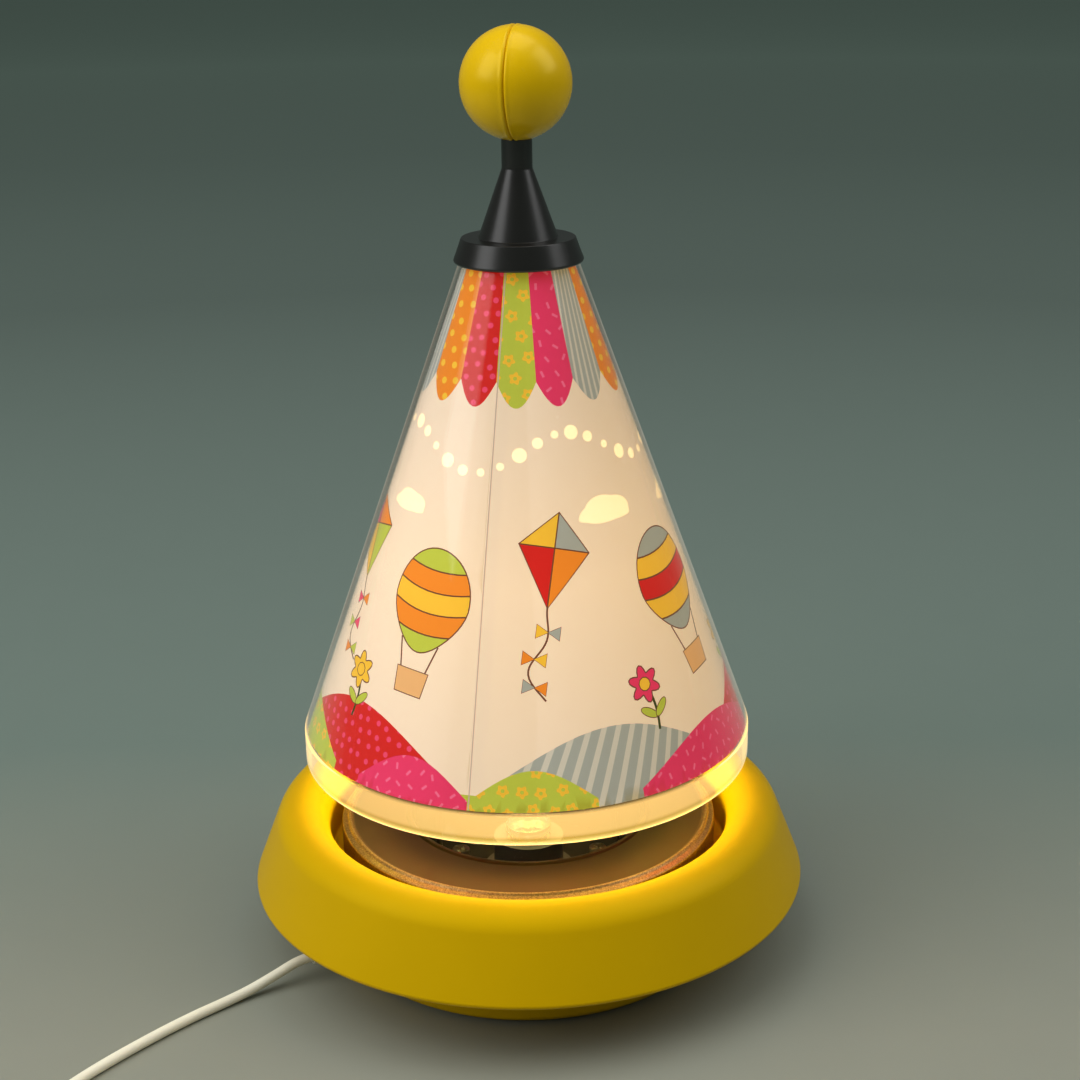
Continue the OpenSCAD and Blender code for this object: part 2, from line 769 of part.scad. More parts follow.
// The half of the ball on the side that s points to, -1 for left and 1 for right
module ball_half(s) {
    tube_top = ball_c - ball_r + 13;
    color("gold") difference() {
        union() {
            difference() {
                translate([0, 0, ball_c]) sphere(r = ball_r);
                translate([0, 0, ball_c]) sphere(r = ball_r - ball_wall);
            }
            intersection() {
                rod(spigot_r + 2, ball_c - ball_r, tube_top);
                translate([0, 0, ball_c]) sphere(r = ball_r - 0.5);
            }
        }
        rod(spigot_r + fit, 0, ball_c);
        rotate([0, 0, -seam_turn])
            translate([s > 0 ? seam_gap - 2 * ball_r : -seam_gap, -2 * ball_r, ball_c - 2 * ball_r])
                cube([2 * ball_r, 4 * ball_r, 4 * ball_r]);
    }
}

module ball_half_left() {
    ball_half(-1);
}

module ball_half_right() {
    ball_half(1);
}

// ---- flex, switch, coil and plug ----

module flex_to_switch() {
    color("ivory") sweep(lamp_route, flex_r, 8);
}

// One shell of the switch, between heights z0 and z1 with a floor or lid outside the split
module switch_shell(z0, z1, hollow0, hollow1) {
    neck_r = 4.2;
    difference() {
        union() {
            translate([0, 0, z0]) linear_extrude(z1 - z0)
                rounded_rect(switch_l - 2 * switch_end_l, switch_w, 5);
            intersection() {
                rod_x(neck_r, -switch_l / 2, switch_l / 2, split_z);
                translate([-switch_l, -switch_w, z0]) cube([2 * switch_l, 2 * switch_w, z1 - z0]);
            }
        }
        translate([0, 0, hollow0]) linear_extrude(hollow1 - hollow0)
            rounded_rect(switch_l - 2 * switch_end_l - 2 * shell_wall, switch_w - 2 * shell_wall, 3.4);
        rod_x(flex_bore_r, -switch_l, switch_l, split_z);
    }
}

module switch_base() {
    color("ivory") translate([switch_x, switch_y, 0]) {
        difference() {
            union() {
                switch_shell(0, split_z, shell_wall, split_z + cut);
                translate(switch_post) rod(switch_post_r, shell_wall - fit, split_z);
            }
            translate(switch_post) {
                rod(switch_head_r + fit, -cut, switch_head_h);
                rod(switch_screw_r + 0.2, -cut, split_z + cut);
            }
        }
        for (x = [-1, 1]) difference() {
            translate([x * 20 - 1.5, -4, shell_wall - fit]) cube([3, 8, split_z - shell_wall]);
            rod_x(1.6, -30, 30, split_z);
        }
    }
}

module switch_cover() {
    slot_l = rocker_l + 1.4;
    slot_w = rocker_w + 0.8;
    cheek_w = 2;
    color("ivory") translate([switch_x, switch_y, 0]) {
        difference() {
            union() {
                switch_shell(split_z, switch_h, split_z - cut, switch_h - shell_wall);
                for (y = [-1, 1])
                    translate([-4, y * (slot_w / 2 + cheek_w / 2) - cheek_w / 2, rocker_z - 2.5])
                        cube([8, cheek_w, switch_h - rocker_z + 1]);
            }
            translate([-slot_l / 2, -slot_w / 2, split_z]) cube([slot_l, slot_w, switch_h]);
            translate([0, 0, rocker_z]) rotate([90, 0, 0])
                translate([0, 0, -slot_w / 2 - cheek_w - cut])
                    cylinder(r = rocker_pin_r + pivot_gap, h = slot_w + 2 * cheek_w + 2 * cut);
        }
        translate(switch_post)
            ring(switch_screw_r + fit, switch_post_r, split_z, switch_h - shell_wall + fit);
    }
}

module switch_rocker() {
    crown = 1.6;
    color("whitesmoke") translate([switch_x, switch_y, rocker_z]) rotate([0, rock_angle / 2, 0]) {
        rotate([90, 0, 0]) translate([0, 0, -rocker_w / 2]) linear_extrude(rocker_w) difference() {
            intersection() {
                translate([-rocker_r, -2]) square([rocker_l, 10]);
                translate([0, -1.4]) circle(r = rocker_r + 0.2);
            }
            translate([0, rocker_r + 12]) circle(r = 15 + 0.2 - crown / 2);
        }
        rotate([90, 0, 0]) translate([0, 0, -rocker_w / 2 - 1.8])
            cylinder(r = rocker_pin_r, h = rocker_w + 3.6);
    }
}

module switch_screw() {
    color("silver") translate([switch_x, switch_y, 0]) translate(switch_post) {
        rod(switch_head_r, 0.2, switch_head_h);
        rod(switch_screw_r, switch_head_h - fit, switch_h - 4);
    }
}

module switch_contacts() {
    color("goldenrod") translate([switch_x, switch_y, 0]) for (x = [-1, 1])
        translate([x * 13 - 3, -3, shell_wall]) cube([6, 6, 4.5]);
}

module flex_to_coil() {
    color("ivory") sweep(switch_route, flex_r, 8);
}

// The wound coil: its loops spiral in and out at a steady rate in four layers, and climb
// a layer in the half turn round each reversal. u counts turns.
layer_turns = coil_loops / 4;
function coil_radius(u) =
    let (k = min(3, floor(u / layer_turns)), p = (u - k * layer_turns) * coil_step)
    k % 2 == 0 ? coil_r - p : coil_in_r + p;
function coil_height(u) =
    coil_z + coil_step * (ease(2 * (u - layer_turns) + 0.5) + ease(2 * (u - 2 * layer_turns) + 0.5)
        + ease(2 * (u - 3 * layer_turns) + 0.5));
function coil_point(u) =
    [coil_c[0] + coil_radius(u) * sin(360 * u), coil_c[1] + coil_radius(u) * cos(360 * u),
        coil_height(u)];
coil_points = concat(
    [coil_point(0) - [flex_d, 0, 0]],
    [for (i = [0:coil_loops * coil_rings]) coil_point(i / coil_rings)],
    [coil_point(coil_loops) + [flex_d, 0, 0]]);
coil_gap = min([for (i = [0:len(coil_points) - 1]) for (j = [i + coil_rings / 2:1:len(coil_points) - 1])
    norm(coil_points[i] - coil_points[j])]) - flex_d;

module flex_coil() {
    echo(least_gap_between_loops = coil_gap);
    color("ivory") sweep(coil_points, flex_r, 6);
}

module coil_tie() {
    low_r = coil_in_r - flex_r - fit;
    high_r = coil_r + flex_r + fit;
    top_z = coil_top_z + flex_r + fit;
    color("black") translate([coil_c[0], coil_c[1], 0]) rotate([0, 0, 90 - tie_turn])
        difference() {
            translate([low_r - tie_t, -tie_w / 2, 0])
                cube([high_r - low_r + 2 * tie_t, tie_w, top_z + tie_t]);
            translate([low_r, -tie_w, tie_t - fit])
                cube([high_r - low_r, 2 * tie_w, top_z - tie_t + fit]);
        }
}

module flex_to_plug() {
    color("ivory") sweep(plug_route, flex_r, 8);
}

module plug_body() {
    half = plug_w / 2;
    neck = 6.5;
    color("ivory") translate([plug_x, switch_y, 0]) difference() {
        union() {
            linear_extrude(2 * plug_z) polygon([[0, -neck], [13, -half], [plug_l, -half],
                [plug_l, half], [13, half], [0, neck]]);
            translate([-14, 0, plug_z]) rotate([0, 90, 0]) cylinder(r1 = 2.8, r2 = 4.8, h = 15);
        }
        rod_x(flex_bore_r, -15, -6, plug_z);
        for (y = [-pin_half, pin_half])
            translate([0, y, 0]) rod_x(pin_r - 0.5, plug_l - 8, plug_l + cut, plug_z);
    }
}

module plug_pins() {
    color("silver") translate([plug_x + plug_l, switch_y, 0]) for (y = [-pin_half, pin_half])
        translate([0, y, 0]) {
            rod_x(pin_r - 0.6, -8, 0.5, plug_z);
            rod_x(pin_r, 0, pin_l - 1, plug_z);
            translate([pin_l - 1, 0, plug_z]) rotate([0, 90, 0])
                cylinder(r1 = pin_r, r2 = pin_r - 0.8, h = 1);
        }
}

base_shell();
base_cover();
rubber_feet();
cover_screws();
heat_plate();
reflector_cup();
cup_screws();
lamp_socket();
socket_nut();
socket_shell();
socket_contact();
terminal_screws();
needle_bow();
needle_holder();
bearing_needle();
flex_bush();
flex_clamp();
clamp_screws();
inner_leads();
bulb_glass();
bulb_cap();
bulb_insulator();
bulb_contact();
bulb_stem();
support_wires();
filament();
turbine_wheel();
wheel_hub();
bearing_cup();
shade_cone();
shade_film();
top_cap();
ball_half_left();
ball_half_right();
flex_to_switch();
switch_base();
switch_cover();
switch_rocker();
switch_screw();
switch_contacts();
flex_to_coil();
flex_coil();
coil_tie();
flex_to_plug();
plug_body();
plug_pins();
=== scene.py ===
# Heat-driven carousel lamp, in metres: a printed cone that turns above a lit bulb on a base.
import math

import bpy
import numpy as np
from mathutils import Matrix, Vector
from mathutils.geometry import delaunay_2d_cdt


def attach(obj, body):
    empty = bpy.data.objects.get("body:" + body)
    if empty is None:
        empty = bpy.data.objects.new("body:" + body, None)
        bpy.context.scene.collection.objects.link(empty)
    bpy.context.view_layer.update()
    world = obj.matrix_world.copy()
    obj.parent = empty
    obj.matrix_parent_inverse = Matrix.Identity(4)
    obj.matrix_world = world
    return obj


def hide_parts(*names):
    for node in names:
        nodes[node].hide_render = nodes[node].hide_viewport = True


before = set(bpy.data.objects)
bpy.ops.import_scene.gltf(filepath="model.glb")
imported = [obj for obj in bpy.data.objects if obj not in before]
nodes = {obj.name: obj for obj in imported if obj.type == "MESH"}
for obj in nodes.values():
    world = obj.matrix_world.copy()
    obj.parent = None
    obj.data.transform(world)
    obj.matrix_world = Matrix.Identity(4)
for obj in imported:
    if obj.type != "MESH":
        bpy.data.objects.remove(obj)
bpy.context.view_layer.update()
scene = bpy.context.scene

# ---- Camera ----
# It stands where the photographer stood, a little above the lamp, and looks down at it.
# Pitch is positive upwards, yaw to the right and roll clockwise.
pitch, yaw, roll = np.radians([-18.89, -0.26, -0.82])
ahead = np.array([np.sin(yaw) * np.cos(pitch), np.cos(yaw) * np.cos(pitch), np.sin(pitch)])
level = np.array([np.cos(yaw), -np.sin(yaw), 0])
upright = np.cross(level, ahead)
camera = bpy.data.objects.new("camera", bpy.data.cameras.new("camera"))
camera.data.sensor_width = 36
camera.data.lens = 62.35
camera_matrix = np.eye(4)
camera_matrix[:3, 0] = np.cos(roll) * level + np.sin(roll) * upright
camera_matrix[:3, 1] = np.cos(roll) * upright - np.sin(roll) * level
camera_matrix[:3, 2] = -ahead
camera_matrix[:3, 3] = (0.00858, -0.620, 0.3628)
camera.matrix_world = Matrix(camera_matrix)
scene.collection.objects.link(camera)
scene.camera = camera

# ---- Flex ----
# Round two-core mains flex in soft ivory plastic, 3.6 mm thick and about 1.8 m long in all.
# It leaves the foot through its bush, runs to the in-line switch, and goes on from there into
# a tied coil and the plug. The routes are those of the part's source.
MM = 0.001
FLEX_RADIUS = 1.8 * MM
lamp_route = [
    [-43, -21, 8], [-50, -24.4, 8], [-57, -27.8, 8], [-64, -31.2, 8], [-71, -34.6, 8],
    [-77, -37.6, 8], [-83, -40.8, 7.2], [-90, -45.3, 4.9], [-98, -51, 2.8], [-106, -57.3, 1.9],
    [-114, -64.4, 1.8], [-122, -72.4, 1.8], [-130, -81.2, 1.8], [-137, -89.4, 1.8],
    [-143, -97, 1.8], [-148, -104, 1.8], [-153, -111, 1.8], [-157, -119, 1.8],
    [-158.4, -128, 1.8], [-156.5, -137, 1.8], [-152, -145, 1.8], [-145, -151, 1.8],
    [-137, -154.3, 2.3], [-130, -155, 3.6], [-123, -155, 6], [-117, -155, 7.8],
    [-112, -155, 8.5], [-108, -155, 8.5], [-104, -155, 8.5]]
switch_route = [
    [-60, -155, 8.5], [-54, -155, 8.5], [-48, -155, 8.1], [-42, -155, 6.6], [-36, -155, 4.4],
    [-30, -155, 2.9], [-25, -155, 2.5], [-21.6, -155, 2.5]]
plug_route = [
    [-14.4, -155, 14.8], [-11, -155, 14.8], [-7, -155, 14.3], [-2, -155, 12.8], [3, -155, 10.6],
    [7, -155, 8.7], [11, -155, 7.3], [15, -155, 6.9], [24, -155, 6.9]]
COIL_TURNS, COIL_STEP, COIL_OUTER, COIL_LOW = 11, 4.1, 26.5, 2.5
COIL_MIDDLE = (-18, -181.5)


def smooth_line(points, steps):
    """Smooth line through the points: from each point to the next runs the cubic whose slope
    at a point is half the way from the point before it to the point after it."""
    p = np.array(points, float)
    slope = np.gradient(p, axis=0)
    t = np.linspace(0, 1, steps, endpoint=False)[None, :, None]
    a, b, u, v = (x[:, None, :] for x in (p[:-1], p[1:], slope[:-1], slope[1:]))
    line = ((2 * t**3 - 3 * t**2 + 1) * a + (t**3 - 2 * t**2 + t) * u
            + (3 * t**2 - 2 * t**3) * b + (t**3 - t**2) * v)
    return np.vstack([line.reshape(-1, 3), p[-1:]])


def coil_line(steps):
    """The coil in four layers: the radius falls and rises by one step a turn, and the height
    climbs one step by a smooth ease in the half turn round each reversal."""
    u = np.linspace(0, COIL_TURNS, COIL_TURNS * steps + 1)
    layer_turns = COIL_TURNS / 4
    layer = np.minimum(3, np.floor(u / layer_turns))
    part = (u - layer * layer_turns) * COIL_STEP
    inner = COIL_OUTER - COIL_STEP * layer_turns
    radius = np.where(layer % 2 == 0, COIL_OUTER - part, inner + part)
    s = np.clip(2 * (u[:, None] - layer_turns * np.array([1, 2, 3])) + 0.5, 0, 1)
    height = COIL_LOW + COIL_STEP * (s * s * (3 - 2 * s)).sum(1)
    turn = 2 * np.pi * u
    return np.stack([COIL_MIDDLE[0] + radius * np.sin(turn),
                     COIL_MIDDLE[1] + radius * np.cos(turn), height], axis=1)


def new_piece(name, points, faces):
    """Mesh object from an array of points and lists of faces, shaded smooth."""
    mesh = bpy.data.meshes.new(name)
    mesh.from_pydata(points.tolist(), [], faces)
    mesh.shade_smooth()
    piece = bpy.data.objects.new(name, mesh)
    scene.collection.objects.link(piece)
    return piece


def unit(vectors):
    return vectors / np.linalg.norm(vectors, axis=1, keepdims=True)


def tube(name, line, radius, sides):
    """Round tube: at each point of the line stands a circle of the radius, square to the line,
    that starts at the level side vector. Flat faces close the two ends."""
    along = unit(np.gradient(line, axis=0))
    side = unit(np.cross(along, [0, 0, 1]))
    top = np.cross(side, along)
    turn = np.linspace(0, 2 * np.pi, sides, endpoint=False)[None, :, None]
    spokes = np.cos(turn) * side[:, None] + np.sin(turn) * top[:, None]
    rings = line[:, None, :] + radius * spokes
    index = np.arange(len(line) * sides).reshape(len(line), sides)
    after = np.roll(index, -1, axis=1)
    walls = np.stack([index[:-1], index[1:], after[1:], after[:-1]], axis=-1).reshape(-1, 4)
    ends = [index[0].tolist(), index[-1][::-1].tolist()]
    return new_piece(name, rings.reshape(-1, 3), walls.tolist() + ends)


def node(tree, kind, inputs=(), **settings):
    """Adds a shader node to a tree and sets its properties. Each input is set or linked."""
    made = tree.nodes.new("ShaderNode" + kind)
    for key, value in settings.items():
        setattr(made, key, value)
    for key, value in dict(inputs).items():
        if isinstance(value, bpy.types.NodeSocket):
            tree.links.new(value, made.inputs[key])
        else:
            made.inputs[key].default_value = value
    return made


def new_group(name, inputs, outputs):
    """Shader node group with inputs (name, kind, value) and outputs (name, kind)."""
    tree = bpy.data.node_groups.new(name, "ShaderNodeTree")
    for label, kind, value in inputs:
        tree.interface.new_socket(
            label, in_out="INPUT", socket_type="NodeSocket" + kind).default_value = value
    for label, kind in outputs:
        tree.interface.new_socket(label, in_out="OUTPUT", socket_type="NodeSocket" + kind)
    return tree, tree.nodes.new("NodeGroupInput").outputs, tree.nodes.new("NodeGroupOutput").inputs


def calc(tree, operation, a, b=0.0, c=0.0):
    """Output of one Math node."""
    return node(tree, "Math", {0: a, 1: b, 2: c}, operation=operation).outputs[0]


def noise(tree, place, scale, detail):
    """Output of one noise texture."""
    return node(tree, "TexNoise", {"Vector": place, "Scale": scale, "Detail": detail}).outputs[0]


def times(tree, colour, factor):
    """A colour times a factor."""
    return node(tree, "VectorMath", {0: colour, "Scale": factor}, operation="SCALE").outputs[0]


def bump_into(tree, normal, height, distance, strength):
    """Links a bump of the height to a normal."""
    made = node(tree, "Bump", {"Height": height, "Distance": distance, "Strength": strength})
    tree.links.new(made.outputs[0], normal)


def colour_ramp(tree, value, first, last, *between):
    """Output of a colour ramp with stops (position, colour): first, last and those between."""
    made = node(tree, "ValToRGB", {0: value})
    for stop, (position, colour) in zip(made.color_ramp.elements, (first, last)):
        stop.position, stop.color = position, (*colour, 1)
    for position, colour in between:
        made.color_ramp.elements.new(position).color = (*colour, 1)
    return made.outputs[0]


def moulded_surface():
    """Moulded plastic: colour and gloss change a little in clouds, dust lightens the surface
    where another noise is high, and a fine grain stands out as bump."""
    tree, given, out = new_group(
        "moulded surface",
        [("Color", "Color", (1, 1, 1, 1)), ("Roughness", "Float", 0.4), ("Haze", "Float", 0.1),
         ("Grain", "Float", 2500.0), ("Depth", "Float", 0.00002), ("Mottle", "Float", 0.08),
         ("Dust", "Float", 0.02)],
        [("Base Color", "Color"), ("Roughness", "Float"), ("Normal", "Vector")])
    place = node(tree, "TexCoord").outputs["Object"]
    centred = calc(tree, "SUBTRACT", noise(tree, place, 45.0, 4.0), 0.5)
    shade = calc(tree, "MULTIPLY_ADD", centred, given["Mottle"], 1.0)
    specks = noise(tree, place, 900.0, 3.0)
    high = node(tree, "MapRange", {"Value": specks, 1: 0.62, 2: 0.80}).outputs[0]
    dusty = node(tree, "Mix", {
        0: calc(tree, "MULTIPLY", high, given["Dust"]), 6: times(tree, given["Color"], shade),
        7: (0.75, 0.72, 0.66, 1)}, data_type="RGBA")
    tree.links.new(dusty.outputs[2], out["Base Color"])
    tree.links.new(calc(tree, "MULTIPLY_ADD", centred, given["Haze"], given["Roughness"]),
                   out["Roughness"])
    bump_into(tree, out["Normal"], noise(tree, place, given["Grain"], 2.0), given["Depth"], 0.5)
    return tree


moulded = moulded_surface()


def finish(name, group, values, **sockets):
    """Material of one Principled shader, fed by the group's outputs of the same names."""
    made = bpy.data.materials.new(name)
    made.use_nodes = True
    tree = made.node_tree
    shader = tree.nodes["Principled BSDF"]
    source = node(tree, "Group", node_tree=group)
    for key, value in values.items():
        source.inputs[key].default_value = value
    for output in source.outputs:
        tree.links.new(output, shader.inputs[output.name])
    for key, value in sockets.items():
        shader.inputs[key.replace("_", " ")].default_value = value
    return made


def cover(piece, material):
    """Gives a piece or a CAD node this one material."""
    piece.data.materials.clear()
    piece.data.materials.append(material)
    return piece


def fit_in(piece, body, slot, *replaced):
    """The piece rides on a body and stands for CAD nodes, which are hidden. The slot is not used.
    """
    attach(piece, body)
    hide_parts(*replaced)
    return piece


ivory_flex = finish("ivory flex", moulded, {
    "Color": (0.90, 0.85, 0.67, 1), "Roughness": 0.42, "Grain": 1400.0, "Depth": 0.00003,
    "Dust": 0.06})
lamp_line = smooth_line(np.array(lamp_route) * MM, 8)
lamp_flex = cover(tube("flex_lamp_side", lamp_line, FLEX_RADIUS, 24), ivory_flex)
fit_in(lamp_flex, "base", "flex_plastic", "flex_to_switch")
plug_line = np.vstack([
    smooth_line(np.array(switch_route) * MM, 6)[:-1], coil_line(64) * MM,
    smooth_line(np.array(plug_route) * MM, 6)[1:]])
plug_flex = cover(tube("flex_plug_side", plug_line, FLEX_RADIUS, 16), ivory_flex)
fit_in(plug_flex, "base", "flex_plastic", "flex_to_coil", "flex_coil", "flex_to_plug")

# ---- Base ----
# One hollow moulding in satin mustard plastic: a skirt that flares down to a narrow edge, a
# rolled crest, and a well with a ledge that the plate stands on. The cover is screwed to the
# four posts inside.
POST_RING, POST_BORE, POST_RADIUS = 78.8, 1.55, 4


def rounded(corners, closed=True):
    """Outline through corners (radius, height, fillet) in millimetres. At each corner the arc
    of its fillet touches both straight runs. Returns points and outward normals, in metres,
    with the material on the left of the line where it is open."""
    corners = np.array(corners, float) * MM
    p, fillet, count = corners[:, :2], corners[:, 2], len(corners)
    points, heading = [], []
    for i in range(count):
        before, after = p[i] - p[i - 1], p[(i + 1) % count] - p[i]
        if not closed and i in (0, count - 1):
            run = after if i == 0 else before
            points.append(p[i])
            heading.append(math.atan2(run[1], run[0]))
            continue
        start = math.atan2(before[1], before[0])
        bend = math.remainder(math.atan2(after[1], after[0]) - start, 2 * math.pi)
        reach = fillet[i] * math.tan(abs(bend) / 2)
        side = math.copysign(fillet[i], bend)
        arc = start + np.linspace(0, bend, max(3, math.ceil(abs(bend) / 0.1)))
        centre = (p[i] - reach * before / np.linalg.norm(before)
                  + side * np.array([-math.sin(start), math.cos(start)]))
        points += list(centre - side * np.stack([-np.sin(arc), np.cos(arc)], axis=1))
        heading += list(arc)
    points, heading = np.array(points), np.array(heading)
    r, z = points.T
    way = np.sign((r * np.roll(z, -1) - np.roll(r, -1) * z).sum()) if closed else 1
    return points, way * np.stack([np.sin(heading), -np.cos(heading)], axis=1)


def turned(outline, around, closed=True, at=(0, 0, 0)):
    """Surface of revolution about Z through the place at: each point (radius, height) is
    carried round the full turn, and one on the axis becomes a single point.
    Returns points, their normals and faces."""
    (points, normals), turn = outline, np.linspace(0, 2 * np.pi, around, endpoint=False)
    on_axis = points[:, 0] < 1e-7
    counts = np.where(on_axis, 1, around)
    first = np.concatenate([[0], np.cumsum(counts)[:-1]])
    index = first[:, None] + np.where(on_axis[:, None], 0, np.arange(around))

    def carried(flat):
        full = np.stack([flat[:, :1] * np.cos(turn), flat[:, :1] * np.sin(turn),
                         np.repeat(flat[:, 1:], around, axis=1)], axis=-1)
        return np.vstack([full[j, :counts[j]] for j in range(len(flat))])

    place, facing = carried(points), carried(normals)
    facing[np.repeat(on_axis, counts)] *= [0, 0, 1]
    low, high = (index, np.roll(index, -1, axis=0)) if closed else (index[:-1], index[1:])
    quads = np.stack([low, np.roll(low, -1, axis=1), np.roll(high, -1, axis=1), high], axis=-1)
    step = np.roll(points, -1, axis=0) - points if closed else np.diff(points, axis=0)
    outward = (step[:, 1] * normals[:len(step), 0] - step[:, 0] * normals[:len(step), 1]).sum() > 0
    quads = quads.reshape(-1, 4)[:, ::1 if outward else -1]
    return place + np.array(at) * MM, facing, [list(dict.fromkeys(q)) for q in quads.tolist()]


def shaped(name, *parts):
    """One mesh from parts of points, normals and faces, shaded by those normals."""
    starts = np.cumsum([0] + [len(p[0]) for p in parts])
    faces = [[k + start for k in f] for start, p in zip(starts.tolist(), parts) for f in p[2]]
    piece = new_piece(name, np.vstack([p[0] for p in parts]), faces)
    piece.data.normals_split_custom_set_from_vertices(np.vstack([p[1] for p in parts]).tolist())
    return piece


mustard_plastic = finish("mustard plastic", moulded, {
    "Color": (0.59, 0.36, 0.001, 1), "Roughness": 0.46, "Haze": 0.08, "Grain": 1900.0,
    "Depth": 0.000022, "Mottle": 0.05, "Dust": 0.005}, Specular_IOR_Level=0.3,
    Specular_Tint=(1, 0.8, 0.05, 1))
post = rounded([(POST_BORE, 26.5, 0.1), (POST_RADIUS, 26.5, 0.4), (POST_RADIUS, 44.5, 0.1),
                (POST_BORE, 44.5, 0.1)])
base = shaped("base", turned(rounded([
    (46, 30, 0.3), (46, 32.5, 0.4), (72.5, 32.5, 1), (72.5, 97.4, 10), (100.69, 24.5, 1.5),
    (97.6, 24.5, 0.2), (97.6, 25.6, 0.3), (75, 84, 7.5), (75, 30, 0.3)]), 288),
    *[turned(post, 32, at=(POST_RING * math.cos(a), POST_RING * math.sin(a), 0))
      for a in np.radians([45, 135, 225, 315])])
cover(base, mustard_plastic)
fit_in(base, "base", "yellow_plastic", "base_shell")
cover(nodes["base_cover"], mustard_plastic)

# ---- Feet and screws ----
# Four soft grey rubber pads stand in sockets of the cover. Zinc-plated steel screws with cross
# heads hold the cover, the cup and the clamp.


def metal_surface():
    """Bare or plated metal: clouds of tarnish darken and dull it, and fine scratches, noise
    drawn out along one way, stand out as bump."""
    tree, given, out = new_group(
        "metal surface",
        [("Color", "Color", (1, 1, 1, 1)), ("Roughness", "Float", 0.3), ("Tarnish", "Float", 0.2),
         ("Scratch", "Vector", (900.0, 900.0, 90.0)), ("Depth", "Float", 0.00001)],
        [("Base Color", "Color"), ("Roughness", "Float"), ("Normal", "Vector")])
    place = node(tree, "TexCoord").outputs["Object"]
    spots = node(tree, "MapRange", {
        "Value": noise(tree, place, 160.0, 5.0), 1: 0.45, 2: 0.75}).outputs[0]
    amount = calc(tree, "MULTIPLY", spots, given["Tarnish"])
    dark = calc(tree, "MULTIPLY_ADD", amount, -0.6, 1.0)
    tree.links.new(times(tree, given["Color"], dark), out["Base Color"])
    tree.links.new(calc(tree, "MULTIPLY_ADD", amount, 0.5, given["Roughness"]), out["Roughness"])
    drawn = node(tree, "VectorMath", {0: place, 1: given["Scratch"]}, operation="MULTIPLY")
    bump_into(tree, out["Normal"], noise(tree, drawn.outputs[0], 1.0, 3.0), given["Depth"], 0.6)
    return tree


metal = metal_surface()
grey_rubber = finish("grey rubber", moulded, {
    "Color": (0.05, 0.05, 0.05, 1), "Roughness": 0.8, "Grain": 1200.0, "Depth": 0.00006,
    "Dust": 0.25})
zinc_plate = finish("zinc plate", metal, {
    "Color": (0.62, 0.62, 0.60, 1), "Roughness": 0.28, "Tarnish": 0.3}, Metallic=1.0)
cover(nodes["rubber_feet"], grey_rubber)
for name in ("cover_screws", "cup_screws", "clamp_screws", "switch_screw", "terminal_screws"):
    cover(nodes[name], zinc_plate)

# ---- Plate ----
# Spun sheet steel with a satin bronze coat: flat on top, with a rolled bead round the hole, a
# small raised bead near the edge, and a wall turned down that stands on the base's ledge.


def bronze_surface():
    """Bronze coat on spun sheet: fine rings run round the axis, painted shade darkens the colour
    towards the hole, the colour darkens a little in clouds, and a painted highlight lightens it in
    small cells along the edge."""
    tree, given, out = new_group(
        "bronze surface",
        [("Color", "Color", (1, 1, 1, 1)), ("Painted highlight", "Color", (1, 1, 1, 1)),
         ("Roughness", "Float", 0.3), ("Depth", "Float", 0.00001)],
        [("Base Color", "Color"), ("Roughness", "Float"), ("Normal", "Vector")])
    place = node(tree, "TexCoord").outputs["Object"]
    split = node(tree, "SeparateXYZ", {0: place})
    flat = node(tree, "CombineXYZ", {0: split.outputs[0], 1: split.outputs[1]})
    radius = node(tree, "VectorMath", {0: flat.outputs[0]}, operation="LENGTH").outputs["Value"]
    rings = node(tree, "TexNoise", {"W": radius, "Scale": 2600.0, "Detail": 3.0},
                 noise_dimensions="1D").outputs[0]
    # Painted highlight: a lighter colour in small cells from a radius of 63.5 mm outwards, over
    # the edge bead.
    cells = node(tree, "TexVoronoi", {"Vector": place, "Scale": 2600.0})
    bright = node(tree, "SeparateColor", {0: cells.outputs["Color"]}).outputs[0]
    edge = node(tree, "MapRange", {"Value": radius, 1: 0.0635, 2: 0.0650}).outputs[0]
    painted_edge_highlight = calc(tree, "MULTIPLY", edge, node(
        tree, "MapRange", {"Value": bright, 3: 0.35, 4: 1.0}).outputs[0])
    cloud = noise(tree, place, 60.0, 4.0)
    # Painted shade: the colour darkens towards the hole.
    painted_shade_at_hole = node(tree, "MapRange", {"Value": radius, 1: 0.045, 2: 0.065, 3: 0.2, 4: 1.0},
                interpolation_type="SMOOTHSTEP").outputs[0]
    shade = calc(tree, "MULTIPLY", calc(tree, "MULTIPLY_ADD", cloud, 0.24, 0.88), painted_shade_at_hole)
    tree.links.new(node(tree, "Mix", {
        0: painted_edge_highlight, 6: times(tree, given["Color"], shade), 7: given["Painted highlight"]},
        data_type="RGBA").outputs[2], out["Base Color"])
    tree.links.new(calc(tree, "MULTIPLY_ADD", rings, 0.12, given["Roughness"]), out["Roughness"])
    height = calc(tree, "MULTIPLY_ADD", painted_edge_highlight, 0.5, rings)
    bump_into(tree, out["Normal"], height, given["Depth"], 0.5)
    return tree


bronze_coat = finish("bronze coat", bronze_surface(), {
    "Color": (0.135, 0.084, 0.040, 1), "Painted highlight": (0.60, 0.42, 0.19, 1), "Roughness": 0.36,
    "Depth": 0.000004}, Metallic=1.0)
plate = cover(shaped("plate", turned(rounded([
    (42.6, 46.2, 0.78), (42.6, 47.8, 0.78), (44.2, 47.8, 0.7), (44.9, 47.2, 0.4),
    (64.2, 47.2, 0.3), (64.8, 48.0, 0.4), (65.6, 48.0, 0.4), (66.2, 47.3, 0.4),
    (68.1, 46.6, 0.8), (68.1, 32.5, 0.2), (67.1, 32.5, 0.2), (67.1, 46.2, 1.5)]), 256)),
    bronze_coat)
fit_in(plate, "base", "bronze_plate", "heat_plate")
